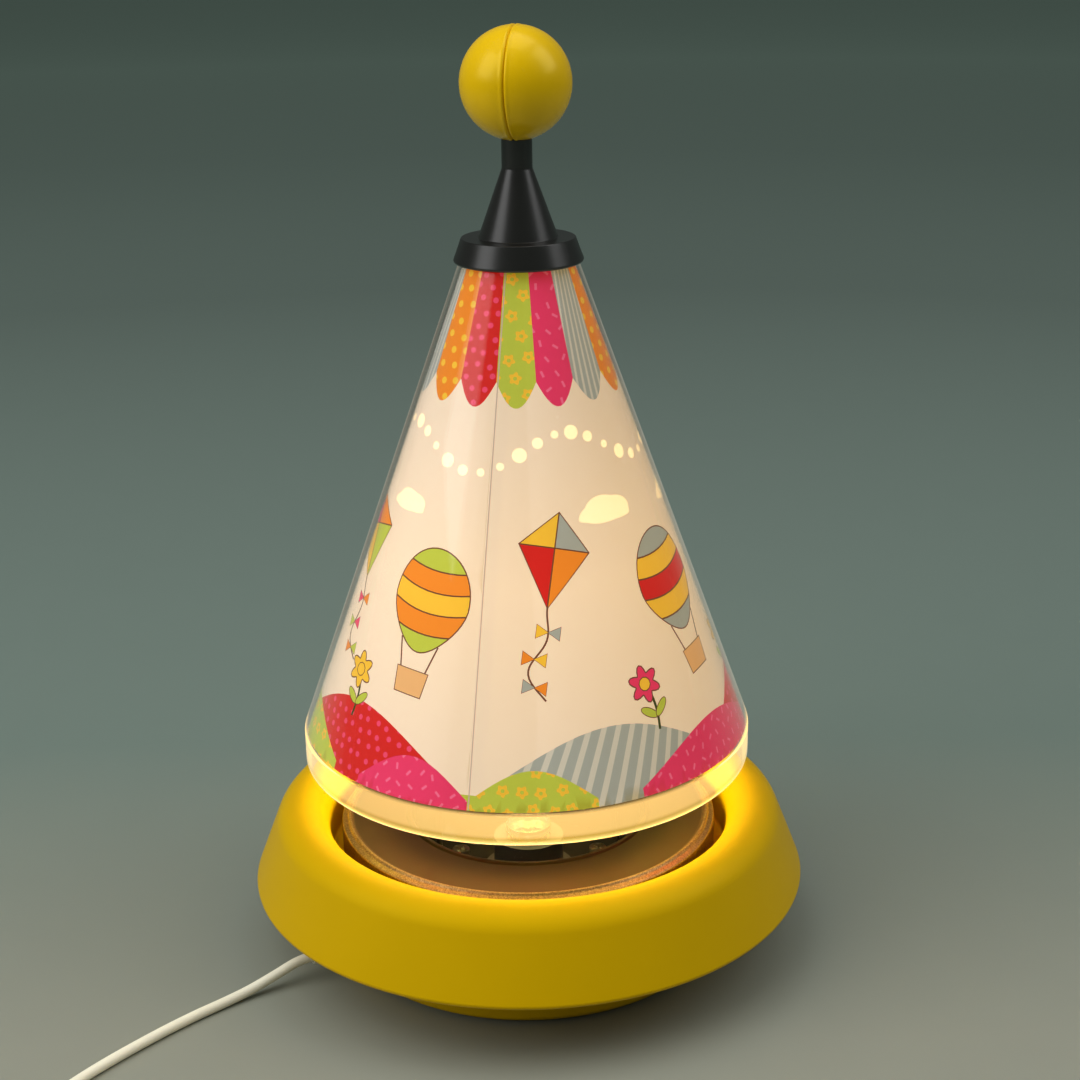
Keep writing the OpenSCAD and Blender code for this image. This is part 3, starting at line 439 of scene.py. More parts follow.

# ---- Cup and socket ----
# The cup under the plate is pressed sheet, coloured near black all over. The lamp socket in it is
# black heat-proof moulding with a ring nut, and holds a brass shell and contact.
black_sheet = finish("black sheet", metal, {
    "Color": (0.005, 0.004, 0.0035, 1), "Roughness": 0.75, "Tarnish": 0.3},
    Specular_IOR_Level=0.2)
black_moulding = finish("black moulding", moulded, {
    "Color": (0.022, 0.020, 0.018, 1), "Roughness": 0.45, "Grain": 1800.0, "Dust": 0.06})
brass = finish("brass", metal, {
    "Color": (0.72, 0.48, 0.18, 1), "Roughness": 0.25, "Tarnish": 0.35}, Metallic=1.0)
cover(nodes["reflector_cup"], black_sheet)
for name in ("lamp_socket", "socket_nut", "wheel_hub"):
    cover(nodes[name], black_moulding)
for name in ("socket_shell", "socket_contact", "needle_holder", "switch_contacts"):
    cover(nodes[name], brass)

# ---- Bow and needle ----
# A bent steel wire stands over the bulb and carries a pointed needle in a turned brass holder.
bright_steel = finish("bright steel", metal, {
    "Color": (0.58, 0.57, 0.55, 1), "Roughness": 0.2, "Tarnish": 0.2}, Metallic=1.0)
for name in ("needle_bow", "bearing_needle"):
    cover(nodes[name], bright_steel)

# ---- Leads ----
# The flex passes the wall of the foot in a ribbed ivory bush and is held by a clamp inside.
# Its two leads, brown and blue, end at the terminals of the socket.
ivory_plastic = finish("ivory plastic", moulded, {
    "Color": (0.80, 0.76, 0.61, 1), "Roughness": 0.38, "Grain": 2200.0, "Dust": 0.04},
    Coat_Weight=0.1, Coat_Roughness=0.2)
lead_plastic = finish("lead plastic", moulded, {
    "Color": (0.16, 0.07, 0.035, 1), "Roughness": 0.4, "Grain": 2200.0})
for name in ("flex_bush", "flex_clamp", "switch_base", "switch_cover", "plug_body"):
    cover(nodes[name], ivory_plastic)
cover(nodes["inner_leads"], lead_plastic)

# ---- Bulb ----
# A round clear bulb with a nickelled screw cap. The glass is blown in one piece with its neck,
# and a rolled round thread runs up the cap to its flared edge.


def bulb_outline():
    """Glass outline in millimetres: a ball of radius 22.5 with its centre at height 71.5 runs
    into a neck of radius 7.7 through a straight cone and a hollow fillet."""
    ball = np.radians(np.linspace(90, -53, 72))
    outside = np.stack([22.5 * np.cos(ball), 71.5 + 22.5 * np.sin(ball)], axis=1)
    outside[0, 0] = 0
    t = np.linspace(0, 1, 16)[1:, None]
    start, pull, end = outside[-1], np.array([7.7, 46.9]), np.array([7.7, 40.2])
    neck = (1 - t) ** 2 * start + 2 * t * (1 - t) * pull + t**2 * end
    line = np.vstack([outside, neck])
    run = np.gradient(line, axis=0)
    normal = unit(np.stack([-run[:, 1], run[:, 0]], axis=1))
    normal[0] = (0, 1)
    inside = line - 0.8 * normal
    inside[0, 0] = 0
    return np.vstack([line, inside[::-1]]) * MM, np.vstack([normal, -normal[::-1]])


def screw_cap(name, pitch):
    """Screw cap: round the axis and up the height the radius is 6.4 mm plus 0.35 mm times the
    cosine of the turn less the height over the pitch, faded out at both ends, and the wall
    flares above it. The inside follows 0.25 mm within."""
    around = 96
    angle = np.linspace(0, 2 * np.pi, around, endpoint=False)[None, :]
    z = np.concatenate([np.linspace(21, 36.2, 140), [36.6, 37.4, 38.4, 38.6, 40.7, 41]])[:, None]
    fade = np.clip((z - 21.5) / 1.5, 0, 1) * np.clip((36 - z) / 1.5, 0, 1)
    wave = 0.35 * np.cos(angle - 2 * np.pi * z / pitch) * fade
    flare = np.interp(z, [36.2, 36.6, 38.4, 38.6, 40.7, 41], [0, 0.5, 1.7, 1.9, 1.9, 1.75])
    radius = 6.4 + wave + flare
    both = np.concatenate([radius, radius[::-1] - 0.25])
    height = np.broadcast_to(np.concatenate([z, z[::-1]]), both.shape)
    points = np.stack([both * np.cos(angle), both * np.sin(angle), height], axis=-1) * MM
    index = np.arange(both.size).reshape(both.shape)
    up, side = np.roll(index, -1, axis=0), np.roll(index, -1, axis=1)
    quads = np.stack([index, side, np.roll(up, -1, axis=1), up], axis=-1).reshape(-1, 4)
    return new_piece(name, points.reshape(-1, 3), quads.tolist())


def clear_material(name, tint, roughness, ior, glow, glow_strength):
    """Clear glass or plastic. Lamps shine through it, because shadow rays pass it by."""
    made = bpy.data.materials.new(name)
    made.use_nodes = True
    tree = made.node_tree
    shader = tree.nodes["Principled BSDF"]
    for key, value in {"Base Color": tint, "Roughness": roughness, "IOR": ior,
                       "Transmission Weight": 1.0, "Emission Color": glow,
                       "Emission Strength": glow_strength}.items():
        shader.inputs[key].default_value = value
    passing = node(tree, "BsdfTransparent", {0: tint})
    rays = node(tree, "LightPath")
    mixed = node(tree, "MixShader", {0: rays.outputs["Is Shadow Ray"], 1: shader.outputs[0],
                                     2: passing.outputs[0]})
    tree.links.new(mixed.outputs[0], tree.nodes["Material Output"].inputs[0])
    return made


bulb_glass_look = clear_material(
    "bulb glass", (1, 0.98, 0.94, 1), 0.04, 1.5, (1, 0.72, 0.38, 1), 0.04)
bulb = cover(shaped("bulb", turned(bulb_outline(), 96)), bulb_glass_look)
fit_in(bulb, "bulb", "bulb_glass", "bulb_glass")
nickel = finish("nickel plate", metal, {
    "Color": (0.60, 0.52, 0.40, 1), "Roughness": 0.22, "Tarnish": 0.25}, Metallic=1.0)
cap = cover(screw_cap("bulb_screw_cap", 2.9), nickel)
fit_in(cap, "bulb", "nickel", "bulb_cap")
cover(nodes["bulb_contact"], nickel)
black_glass = finish("black glass", moulded, {
    "Color": (0.01, 0.01, 0.012, 1), "Roughness": 0.1, "Grain": 900.0})
cover(nodes["bulb_insulator"], black_glass)
stem_glass = clear_material(
    "stem glass", (0.96, 1, 0.98, 1), 0.02, 1.5, (0, 0, 0, 1), 0.0)
cover(nodes["bulb_stem"], stem_glass)
cover(nodes["support_wires"], nickel)


def filament_line():
    """The filament: 60 fine turns of radius 0.34 mm wound on a half circle of radius 7.6 mm
    over the stem, from one support wire to the other."""
    t = np.linspace(0, 1, 1441)
    bend, turn = np.pi * t, 2 * np.pi * 60 * t
    radius = 7.6 + 0.34 * np.cos(turn)
    return np.stack([radius * np.cos(bend), radius * np.sin(bend),
                     71.9 + 0.34 * np.sin(turn)], axis=1) * MM


hot_tungsten = finish("hot tungsten", metal, {
    "Color": (0.3, 0.28, 0.26, 1), "Roughness": 0.5}, Metallic=1.0,
    Emission_Color=(1, 0.62, 0.25, 1), Emission_Strength=14.0)
filament = cover(tube("filament_coil", filament_line(), 0.06 * MM, 6), hot_tungsten)
fit_in(filament, "bulb", "tungsten", "filament")
bulb_light = bpy.data.objects.new("bulb_light", bpy.data.lights.new("bulb_light", "POINT"))
bulb_light.data.energy = 0.6
bulb_light.data.color = (1, 0.98, 0.42)
bulb_light.data.shadow_soft_size = 0.0232
bulb_light.location = (0, 0, 0.0715)
for ray in ("camera", "glossy", "transmission"):
    setattr(bulb_light, "visible_" + ray, False)
scene.collection.objects.link(bulb_light)

# ---- Wheel ----
# Thin aluminium wheel: sloping vanes between a plate and a band, on a moulded hub whose glass
# bearing cup sits on the needle. Warm air from the bulb turns it.
aluminium = finish("aluminium", metal, {
    "Color": (0.72, 0.72, 0.72, 1), "Roughness": 0.35, "Tarnish": 0.15}, Metallic=1.0)
cover(nodes["turbine_wheel"], aluminium)
jewel = clear_material(
    "bearing jewel", (0.85, 0.93, 1, 1), 0.02, 1.6, (0, 0, 0, 1), 0.0)
cover(nodes["bearing_cup"], jewel)

# ---- Printed film ----
# Thin translucent film, printed in colour and rolled into a cone inside the clear one. Its edges
# meet in one seam with a fine line. A painted glow, as emission, stands for the light inside
# showing through it, brightest in the clouds and in a winding row of round lights.
FILM_APEX_Z, FILM_SLOPE, FILM_COS, FILM_TURN = 299.64, 0.36138, 0.94047, 0.33989
FILM_LOW_Z, FILM_HIGH_Z, SEAM, FILM_THICK = 84.3, 252.5, -14.0, 0.4


def flat_film(angle, z):
    """Place on the film rolled out flat, in millimetres, of the point at an angle in degrees
    from the front and a height z. The sheet is a sector: its radius is the slant length from
    the apex, and it turns by 0.34 degrees for each degree round the lamp."""
    slant = (FILM_APEX_Z - np.asarray(z, float)) / FILM_COS
    turn = np.radians(np.asarray(angle, float) * FILM_TURN)
    return np.stack(np.broadcast_arrays(slant * np.sin(turn), -slant * np.cos(turn)), axis=-1)


def rolled_film(flat):
    """Place on the lamp, in millimetres, of points on the flat sheet."""
    slant, turn = np.hypot(*flat.T), np.arctan2(flat[:, 0], -flat[:, 1]) / FILM_TURN
    radius = slant * FILM_COS * FILM_SLOPE
    return np.stack([radius * np.sin(turn), -radius * np.cos(turn),
                     FILM_APEX_Z - slant * FILM_COS], axis=1)


def motif(shape, angle, z, size=1.0, turn=0.0):
    """A drawing in millimetres, set on the flat sheet with its top towards the apex."""
    a, t = math.radians(angle * FILM_TURN), math.radians(turn)
    x, y = (np.asarray(shape, float) @ [[math.cos(t), math.sin(t)],
                                        [-math.sin(t), math.cos(t)]]).T * size
    right, up = np.array([math.cos(a), math.sin(a)]), np.array([-math.sin(a), math.cos(a)])
    return flat_film(angle, z) + x[:, None] * right + y[:, None] * up


def rose(count, petals, depth):
    """Closed line of radius (1 + depth x cosine of petals x angle) / (1 + depth)."""
    t = np.linspace(0, 2 * np.pi, count, endpoint=False) + np.pi / 2
    radius = (1 + depth * np.cos(petals * (t - np.pi / 2))) / (1 + depth)
    return np.stack([radius * np.cos(t), radius * np.sin(t)], axis=1)


def grown(shape, width):
    """The shape with each corner moved outwards by the width, for the dark line round it."""
    before, after = shape - np.roll(shape, 1, axis=0), np.roll(shape, -1, axis=0) - shape
    run = unit(unit(before) + unit(after))
    return shape + width * np.stack([run[:, 1], -run[:, 0]], axis=1)


def ribbon(line, width):
    """Closed outline of a line drawn with a pen of the width."""
    run = np.gradient(line, axis=0)
    side = unit(np.stack([-run[:, 1], run[:, 0]], axis=1))
    return np.vstack([line - width / 2 * side, (line + width / 2 * side)[::-1]])


CREAM, LINE = (0.93, 0.88, 0.82), (0.16, 0.07, 0.04)
RED, ROSE = (0.64, 0.020, 0.018), (0.80, 0.075, 0.22)
PINK, LIGHT_PINK = (0.80, 0.050, 0.20), (0.88, 0.18, 0.42)
BLUE, PALE_BLUE = (0.38, 0.47, 0.53), (0.62, 0.69, 0.73)
GREEN, DARK_GREEN = (0.50, 0.66, 0.09), (0.05, 0.07, 0.01)
ORANGE, YELLOW = (0.85, 0.30, 0.03), (0.90, 0.62, 0.06)
TAN = (0.80, 0.52, 0.26)
# Each print is (outline on the flat sheet, colour, glow, number of the print that cuts it)
prints = []
draw_seed = np.random.default_rng(7)


def draw(outline, colour, glow=1.0, inside=0):
    prints.append((np.asarray(outline), colour, glow, inside))
    return len(prints) - 1


def band_patch(first, last, low, high):
    """Patch of the sheet from one angle to another, between two edges. Each is a height, or a
    function that gives the height at an angle."""
    angle = np.linspace(first, last, max(3, int(last - first) // 2))
    return np.vstack([flat_film(a, edge(a) if callable(edge) else edge)
                      for a, edge in ((angle, low), (angle[::-1], high))])


# Borders are drawn a little past the sheet's edges and cut there
UNDER, OVER = FILM_LOW_Z - 1, FILM_HIGH_Z + 1
draw(band_patch(SEAM, SEAM + 360, FILM_LOW_Z, FILM_HIGH_Z), CREAM)


def scatter(patch, first, last, z0, z1, step, shape, size, colour, jitter, spin=180.0,
            centre=None):
    """Rows of one motif over a patch, each moved and turned a little, cut at its edges."""
    z, row = z0, 0
    while z < z1:
        radius = (FILM_APEX_Z - z) * FILM_SLOPE
        gap = math.degrees(step / radius)
        for a in np.arange(first + (row % 2) * gap / 2, last + gap, gap):
            da, dz, turn = draw_seed.uniform(-1, 1, 3)
            at = a + da * jitter * gap, z + dz * jitter * step
            draw(motif(shape, *at, size, turn * spin), colour, 1.0, patch)
            if centre:
                draw(motif(dot, *at, 0.3 * size), centre, 1.0, patch)
        z += step * 0.87
        row += 1


def stripes(patch, first, last, z0, z1, step, width, lean, colour):
    """Slanting stripes over a patch: each keeps its width in degrees and leans as it rises."""
    for a in np.arange(first - abs(lean), last + abs(lean), step):
        ends = flat_film([a, a + width, a + width + lean, a + lean], [z0, z0, z1, z1])
        draw(ends, colour, 1.0, patch)


dot = rose(10, 0, 0)
blossom = rose(30, 5, 0.2)
dash = np.array([[-0.35, -0.9], [0.35, -0.9], [0.35, 0.9], [-0.35, 0.9]])


def patterned(outline, kind, first, last, z0, z1):
    """A field of one colour with the small pattern that goes with it."""
    colour = {"red": RED, "pink": PINK, "green": GREEN, "blue": BLUE, "orange": ORANGE}[kind]
    field = draw(outline, colour)
    if kind == "red":
        scatter(field, first, last, z0, z1, 4.6, dot, 1.0, ROSE, 0.15)
    elif kind == "blue":
        stripes(field, first, last, z0, z1, 4.4, 1.7, 8, PALE_BLUE)
    elif kind == "pink":
        scatter(field, first, last, z0, z1, 5.0, dash, 1.2, LIGHT_PINK, 0.2, 60.0)
    elif kind == "green":
        scatter(field, first, last, z0, z1, 7.0, blossom, 2.2, YELLOW, 0.16, centre=GREEN)
    else:
        scatter(field, first, last, z0, z1, 5.5, dot, 1.2, YELLOW, 0.1)


SCALLOP_WIDTH, SCALLOP_ENDS_Z, SCALLOP_DEPTH = 24, 215, 8
GROUND_Z, HILL_FOOT_Z = 89, 87
for i in range(15):
    start = SEAM + SCALLOP_WIDTH * i
    end = start + SCALLOP_WIDTH
    patterned(band_patch(start, end, lambda a: SCALLOP_ENDS_Z - SCALLOP_DEPTH * np.sin(
        np.pi * (a - start) / SCALLOP_WIDTH), OVER),
        ("green", "pink", "blue", "orange", "red")[i % 5], start, end, 204, FILM_HIGH_Z)
draw(band_patch(SEAM, SEAM + 360, UNDER, GROUND_Z), GREEN)
for middle, half, top, kind in (
        (24, 38, 108, "blue"), (96, 40, 111, "red"), (168, 38, 107, "orange"),
        (240, 40, 110, "blue"), (308, 38, 109, "red"), (60, 30, 100, "pink"),
        (132, 30, 101, "green"), (204, 30, 99, "pink"), (274, 30, 101, "green"),
        (2, 16, 97, "green"), (330, 16, 98, "pink")):
    first, last = middle - half, middle + half
    patterned(band_patch(first, last, UNDER, lambda a: HILL_FOOT_Z + (top - HILL_FOOT_Z) * np.cos(
        np.pi / 2 * (a - middle) / half)), kind, first, last, FILM_LOW_Z, top)


def outlined(shape, at, colour, line=0.45):
    """A filled drawing with a fine dark line round it. Its place is (angle, height, size, turn),
    here and in the drawings below."""
    placed = motif(shape, *at)
    draw(grown(placed, line), LINE)
    return draw(placed, colour)


def balloon(at, colours):
    """Hot-air balloon: a pear-shaped envelope in level stripes, two ropes and a basket."""
    t = np.linspace(0, 2 * np.pi, 48, endpoint=False)
    squeeze = 1 - 0.30 * np.clip(-np.sin(t), 0, 1) ** 1.5
    envelope = np.stack([12.5 * np.cos(t) * squeeze, 15 * np.sin(t)], axis=1)
    for side in (-1, 1):
        rope = np.array([[side * 6.5, -12.0], [side * 4.2, -21.0]])
        draw(motif(ribbon(rope, 0.5), *at), LINE)
    outlined([[-4.6, -27.5], [4.6, -27.5], [5.4, -20.5], [-5.4, -20.5]], at, TAN)
    body = outlined(envelope, at, colours[0])
    x = np.linspace(-15, 15, 12)
    sag = 2.2 * (x / 12.5) ** 2
    for i, colour in enumerate(colours):
        upper, lower = (np.stack([x, 15 - 6.2 * k + sag], 1) for k in (i, i + 1))
        draw(motif(np.vstack([lower, upper[::-1]]), *at), colour, 1.0, body)
        if i:
            draw(motif(ribbon(upper, 0.45), *at), LINE, 1.0, body)


def kite(at, colours):
    """Diamond kite in four colours with a wavy tail and three bows."""
    corners = np.array([[0, -15.0], [10, 2], [0, 12], [-10, 2]])
    s = np.linspace(0, 1, 24)
    tail = np.stack([4.5 * np.sin(7 * s) * s, -15 - 26 * s], axis=1)
    draw(motif(ribbon(tail, 0.55), *at), LINE)
    for k in (6, 13, 20):
        for side in (-1, 1):
            bow = tail[k] + np.array([[0, 0], [side * 3.4, 1.9], [side * 3.4, -1.9]])[::-side]
            outlined(bow, at, colours[(k + side) % 3], 0.3)
    outlined(corners, at, colours[0])
    for k, colour in enumerate(colours):
        draw(motif([corners[k], corners[(k + 1) % 4], [0, 2]], *at), colour)
    for cross in ([[0, -15.0], [0, 12]], [[-10, 2], [10, 2.0]]):
        draw(motif(ribbon(np.array(cross), 0.4), *at), LINE)


def flower(at, colour):
    """Flower on a stem with two leaves."""
    s = np.linspace(0, 1, 12)
    stem = np.stack([1.4 * np.sin(3 * s), -16 * (1 - s)], axis=1)
    draw(motif(ribbon(stem, 1.0), *at), DARK_GREEN)
    t = np.linspace(0, 2 * np.pi, 20, endpoint=False)
    for side in (-1, 1):
        leaf = np.stack([3.4 * np.cos(t), 1.3 * np.sin(t)], axis=1)
        tilt = np.radians(90 - side * 52)
        leaf = leaf @ [[np.cos(tilt), np.sin(tilt)], [-np.sin(tilt), np.cos(tilt)]]
        outlined(leaf + [0.8 + side * 2.6, -9.4], at, GREEN, 0.3)
    outlined(rose(48, 6, 0.28) * 6.2, at, colour)
    outlined(dot * 2.1, at, YELLOW, 0.35)


def cloud(at):
    """Cloud with a strong painted glow, for the light shining through it: a flat oval whose edge
    swells in five waves.
    """
    t = np.linspace(0, 2 * np.pi, 60, endpoint=False)
    swell = 1 + 0.13 * np.abs(np.sin(2.5 * t))
    height = np.where(np.sin(t) > 0, 5.6, 2.2) * np.sin(t)
    draw(motif(np.stack([9 * np.cos(t) * swell, height * swell], axis=1), *at),
         (1, 0.99, 0.90), 1.9)


for a, z, size in ((37, 172, 1.05), (84, 170, 0.85), (129, 171, 1.0), (176, 170, 0.9),
                   (221, 172, 1.0), (265, 171, 0.9), (306, 173, 0.85)):
    cloud((a, z, size))
# The round lights in the print have the strongest painted glow.
LIGHTS, LIGHT_ROW_Z, LIGHT_ROW_SWING = 40, 193, 6
light = rose(24, 0, 0)
for i in range(LIGHTS):
    a = SEAM + 4.5 + 9 * i
    z = LIGHT_ROW_Z + LIGHT_ROW_SWING * math.sin(math.radians(4 * a))
    draw(motif(light, a, z, (1.3, 2.4, 1.8)[i % 3]), (1, 1, 0.94), 2.3)
kite((12, 162, 1.15, -12), [ORANGE, BLUE, YELLOW, RED])
balloon((60, 146, 1.2, 5), [BLUE, YELLOW, RED, YELLOW, BLUE])
kite((106, 160, 1.15, 16), [YELLOW, PINK, GREEN, BLUE])
balloon((152, 145, 1.25, -6), [ORANGE, GREEN, ORANGE, GREEN, ORANGE])
kite((198, 161, 1.1, -18), [RED, YELLOW, BLUE, GREEN])
balloon((244, 146, 1.2, 6), [RED, BLUE, YELLOW, BLUE, RED])
kite((286, 160, 1.1, 14), [GREEN, ORANGE, PINK, YELLOW])
balloon((327, 146, 1.15, -5), [GREEN, ORANGE, YELLOW, ORANGE, GREEN])
for a, z, turn, colour in ((37, 118, 8, PINK), (84, 120, -6, YELLOW), (129, 114, 7, ORANGE),
                           (176, 116, -8, PINK), (221, 118, 5, YELLOW), (264, 114, -5, ORANGE),
                           (304, 118, 6, YELLOW)):
    flower((a, z, 1.0, turn), colour)
seam_z = np.linspace(FILM_LOW_Z + 0.1, FILM_HIGH_Z - 0.1, 40)
seam_edge = SEAM + np.degrees(0.5 / ((FILM_APEX_Z - seam_z) * FILM_SLOPE))
draw(ribbon(flat_film(seam_edge, seam_z)[::-1], 0.45), (0.64, 0.56, 0.51), 0.8)


def printed_film(name):
    """The drawings and the sheet's generator lines, every 3 degrees round the lamp, are merged
    into one flat net of triangles. Each takes the colour of the last drawing that covers it and
    is not cut away, and the net is rolled into the cone with both edges merged at the seam."""
    points = [p for outline, *_ in prints for p in outline.tolist()]
    starts = np.cumsum([0] + [len(p[0]) for p in prints]).tolist()
    faces = [list(range(a, b)) for a, b in zip(starts, starts[1:])]
    lines = np.arange(SEAM + 3, SEAM + 359, 3)
    ends = np.hstack([flat_film(lines, FILM_LOW_Z), flat_film(lines, FILM_HIGH_Z)])
    edges = [(len(points) + 2 * i, len(points) + 2 * i + 1) for i in range(len(lines))]
    points += ends.reshape(-1, 2).tolist()
    net, _, triangles, _, _, covering = delaunay_2d_cdt(
        [Vector(p) for p in points], edges, faces, 1, 1e-4)
    kept = [(t, c) for t, c in zip(triangles, covering) if 0 in c]
    owner = np.array([max(k for k in c if prints[k][3] in c) for _, c in kept])
    flat = np.array([tuple(v) for v in net])
    place = rolled_film(flat) * MM
    slant, turn = np.hypot(*flat.T), np.degrees(np.arctan2(flat[:, 0], -flat[:, 1])) / FILM_TURN
    first = np.abs(turn - SEAM) < 1e-3
    merged = np.arange(len(flat))
    order = np.flatnonzero(first)
    last = np.flatnonzero(np.abs(turn - SEAM - 360) < 1e-3)
    near = np.abs(slant[last][:, None] - slant[order][None, :])
    same = near.min(1) < 2e-3
    merged[last[same]] = order[near.argmin(1)[same]]
    corners = merged[np.array([t for t, _ in kept])]
    used, compact = np.unique(corners, return_inverse=True)
    piece = new_piece(name, place[used], compact.reshape(-1, 3).tolist())
    mesh = piece.data
    colours = np.array([(*p[1], 1) for p in prints])[owner]
    glow = np.array([p[2] for p in prints])[owner]
    # Faces within 5 mm of the seam, where the film overlaps, get a slightly weaker painted glow.
    middle = flat[corners].mean(1)
    across = (np.degrees(np.arctan2(middle[:, 0], -middle[:, 1])) / FILM_TURN - SEAM) % 360
    width = np.radians(across) * FILM_TURN * np.hypot(*middle.T)
    glow = np.where(width < 5, glow * 0.93, glow)
    shown = mesh.color_attributes.new("print", "FLOAT_COLOR", "CORNER")
    shown.data.foreach_set("color", np.repeat(colours, 3, axis=0).ravel())
    # Each face keeps the strength of its painted glow.
    through = mesh.attributes.new("through", "FLOAT", "FACE")
    through.data.foreach_set("value", glow)
    return piece


film = printed_film("film")
wall = film.modifiers.new("thickness", "SOLIDIFY")
wall.thickness, wall.offset = FILM_THICK * MM, -1


def film_surface():
    """Colour of the print, and a painted glow for the light that comes through it: the print's
    colour times the warm light, times how much the print lets through, with painted shade that
    fades it from the middle to both ends."""
    tree, given, out = new_group(
        "film surface", [("Light", "Color", (1, 1, 1, 1))],
        [("Base Color", "Color"), ("Emission Color", "Color"), ("Normal", "Vector")])
    place = node(tree, "TexCoord").outputs["Object"]
    ink = node(tree, "Attribute", attribute_name="print").outputs["Color"]
    through = node(tree, "Attribute", attribute_name="through").outputs["Fac"]
    height = node(tree, "SeparateXYZ", {0: place}).outputs[2]
    fibres = noise(tree, place, 500.0, 3.0)
    shown = times(tree, ink, calc(tree, "MULTIPLY_ADD", fibres, 0.06, 0.97))
    tree.links.new(times(tree, shown, 0.78), out["Base Color"])
    # Painted shade: the glow fades from the middle of the film's height to both ends.
    curve = node(tree, "MapRange", {"Value": height, 1: 0.084, 2: 0.253, 3: 0.0, 4: 1.0})
    painted_glow_dim = (0.72, 0.72, 0.72)
    painted_glow_fade = colour_ramp(tree, curve.outputs[0], (0, painted_glow_dim), (1, painted_glow_dim), (0.4, (1, 1, 1)),
                         (0.72, painted_glow_dim))
    painted_glow_colour = node(tree, "VectorMath", {0: shown, 1: given["Light"]}, operation="MULTIPLY").outputs[0]
    tree.links.new(times(tree, painted_glow_colour, calc(tree, "MULTIPLY", painted_glow_fade, through)),
                   out["Emission Color"])
    bump_into(tree, out["Normal"], fibres, 0.00002, 0.3)
    return tree


printed = finish("printed film", film_surface(), {"Light": (1.0, 0.61, 0.21, 1)},
                 Roughness=0.55, Specular_IOR_Level=0.2, Emission_Strength=0.61)
cover(film, printed)
fit_in(film, "shade", "printed_film", "shade_film")

# ---- Clear cone ----
# The outer shade is one clear moulding, 1.5 mm thick: a cone with a straight rim that ends in a
# rounded edge. A painted glow, emission on the clear wall, lights the rim band and the wall where
# it is seen edge on.
clear_look = clear_material("clear plastic", (1, 1, 1, 1), 0.012, 1.36, (0, 0, 0, 1), 1.0)
tree = clear_look.node_tree
shader = tree.nodes["Principled BSDF"]
place = node(tree, "TexCoord").outputs["Object"]
height = node(tree, "SeparateXYZ", {0: place}).outputs[2]
# Painted glow: emission on the rim band by height, fainter where it is seen edge on, plus a warm
# painted glow on all the wall where it is seen edge on.
painted_rim_glow = colour_ramp(
    tree, node(tree, "MapRange", {"Value": height, 1: 0.0733, 2: 0.0853}).outputs[0],
    (0, (0.62, 0.43, 0.12)), (0.93, (0, 0, 0)), (0.07, (0.62, 0.43, 0.12)),
    (0.13, (0.30, 0.17, 0.01)), (0.24, (0.52, 0.32, 0.09)), (0.85, (0.56, 0.34, 0.10)))
edge_on = node(tree, "LayerWeight", {0: 0.5}).outputs["Facing"]
painted_rim_glow_faced = times(tree, painted_rim_glow, calc(tree, "MULTIPLY_ADD", edge_on, -0.8, 1.0))
painted_edge_on_glow = times(tree, (0.30, 0.25, 0.19), calc(tree, "POWER", edge_on, 5.0))
tree.links.new(node(tree, "VectorMath", {0: painted_rim_glow_faced, 1: painted_edge_on_glow}).outputs[0],
               shader.inputs["Emission Color"])
bump_into(tree, shader.inputs["Normal"], noise(tree, place, 26.0, 1.0), 0.0004, 0.2)
cone = cover(shaped("clear_cone", turned(rounded([
    (78.1, 73.3, 0.78), (79.7, 73.3, 0.78), (79.7, 83.8, 2), (18.37, 253.5, 0.3),
    (16.77, 253.5, 0.3), (78.1, 83.8, 2)]), 288)), clear_look)
fit_in(cone, "shade", "clear_plastic", "shade_cone")

# ---- Cap and ball ----
# The cap is one black moulding: a ring over the top of the cone, a small cone and a neck. The
# yellow ball on it is two hollow halves, glued on a seam that stands a little open.
black_plastic = finish("black plastic", moulded, {
    "Color": (0.006, 0.005, 0.004, 1), "Roughness": 0.30, "Grain": 2200.0, "Depth": 0.00002,
    "Dust": 0.01}, Specular_IOR_Level=1.0)
top_cap = cover(shaped("top_cap", turned(rounded([
    (0, 302, 0), (3.5, 302, 0.3), (3.5, 289.3, 0.3), (5.1, 289.3, 0.2), (5.1, 279.8, 2),
    (13.3, 257.2, 0.3), (19.1, 257.2, 0.5), (22.1, 249.0, 0.8), (20.6, 249.0, 0.2),
    (18.2, 255, 0.3), (10.9, 255, 0.3), (3.1, 277.8, 0.3), (0, 277.8, 0)], closed=False),
    192, closed=False)), black_plastic)
fit_in(top_cap, "shade", "black_plastic", "top_cap")
BALL_Z, BALL_RADIUS, BALL_WALL, SEAM_TURN, SEAM_GAP = 307.0, 18.4, 2.0, 12.0, 0.1


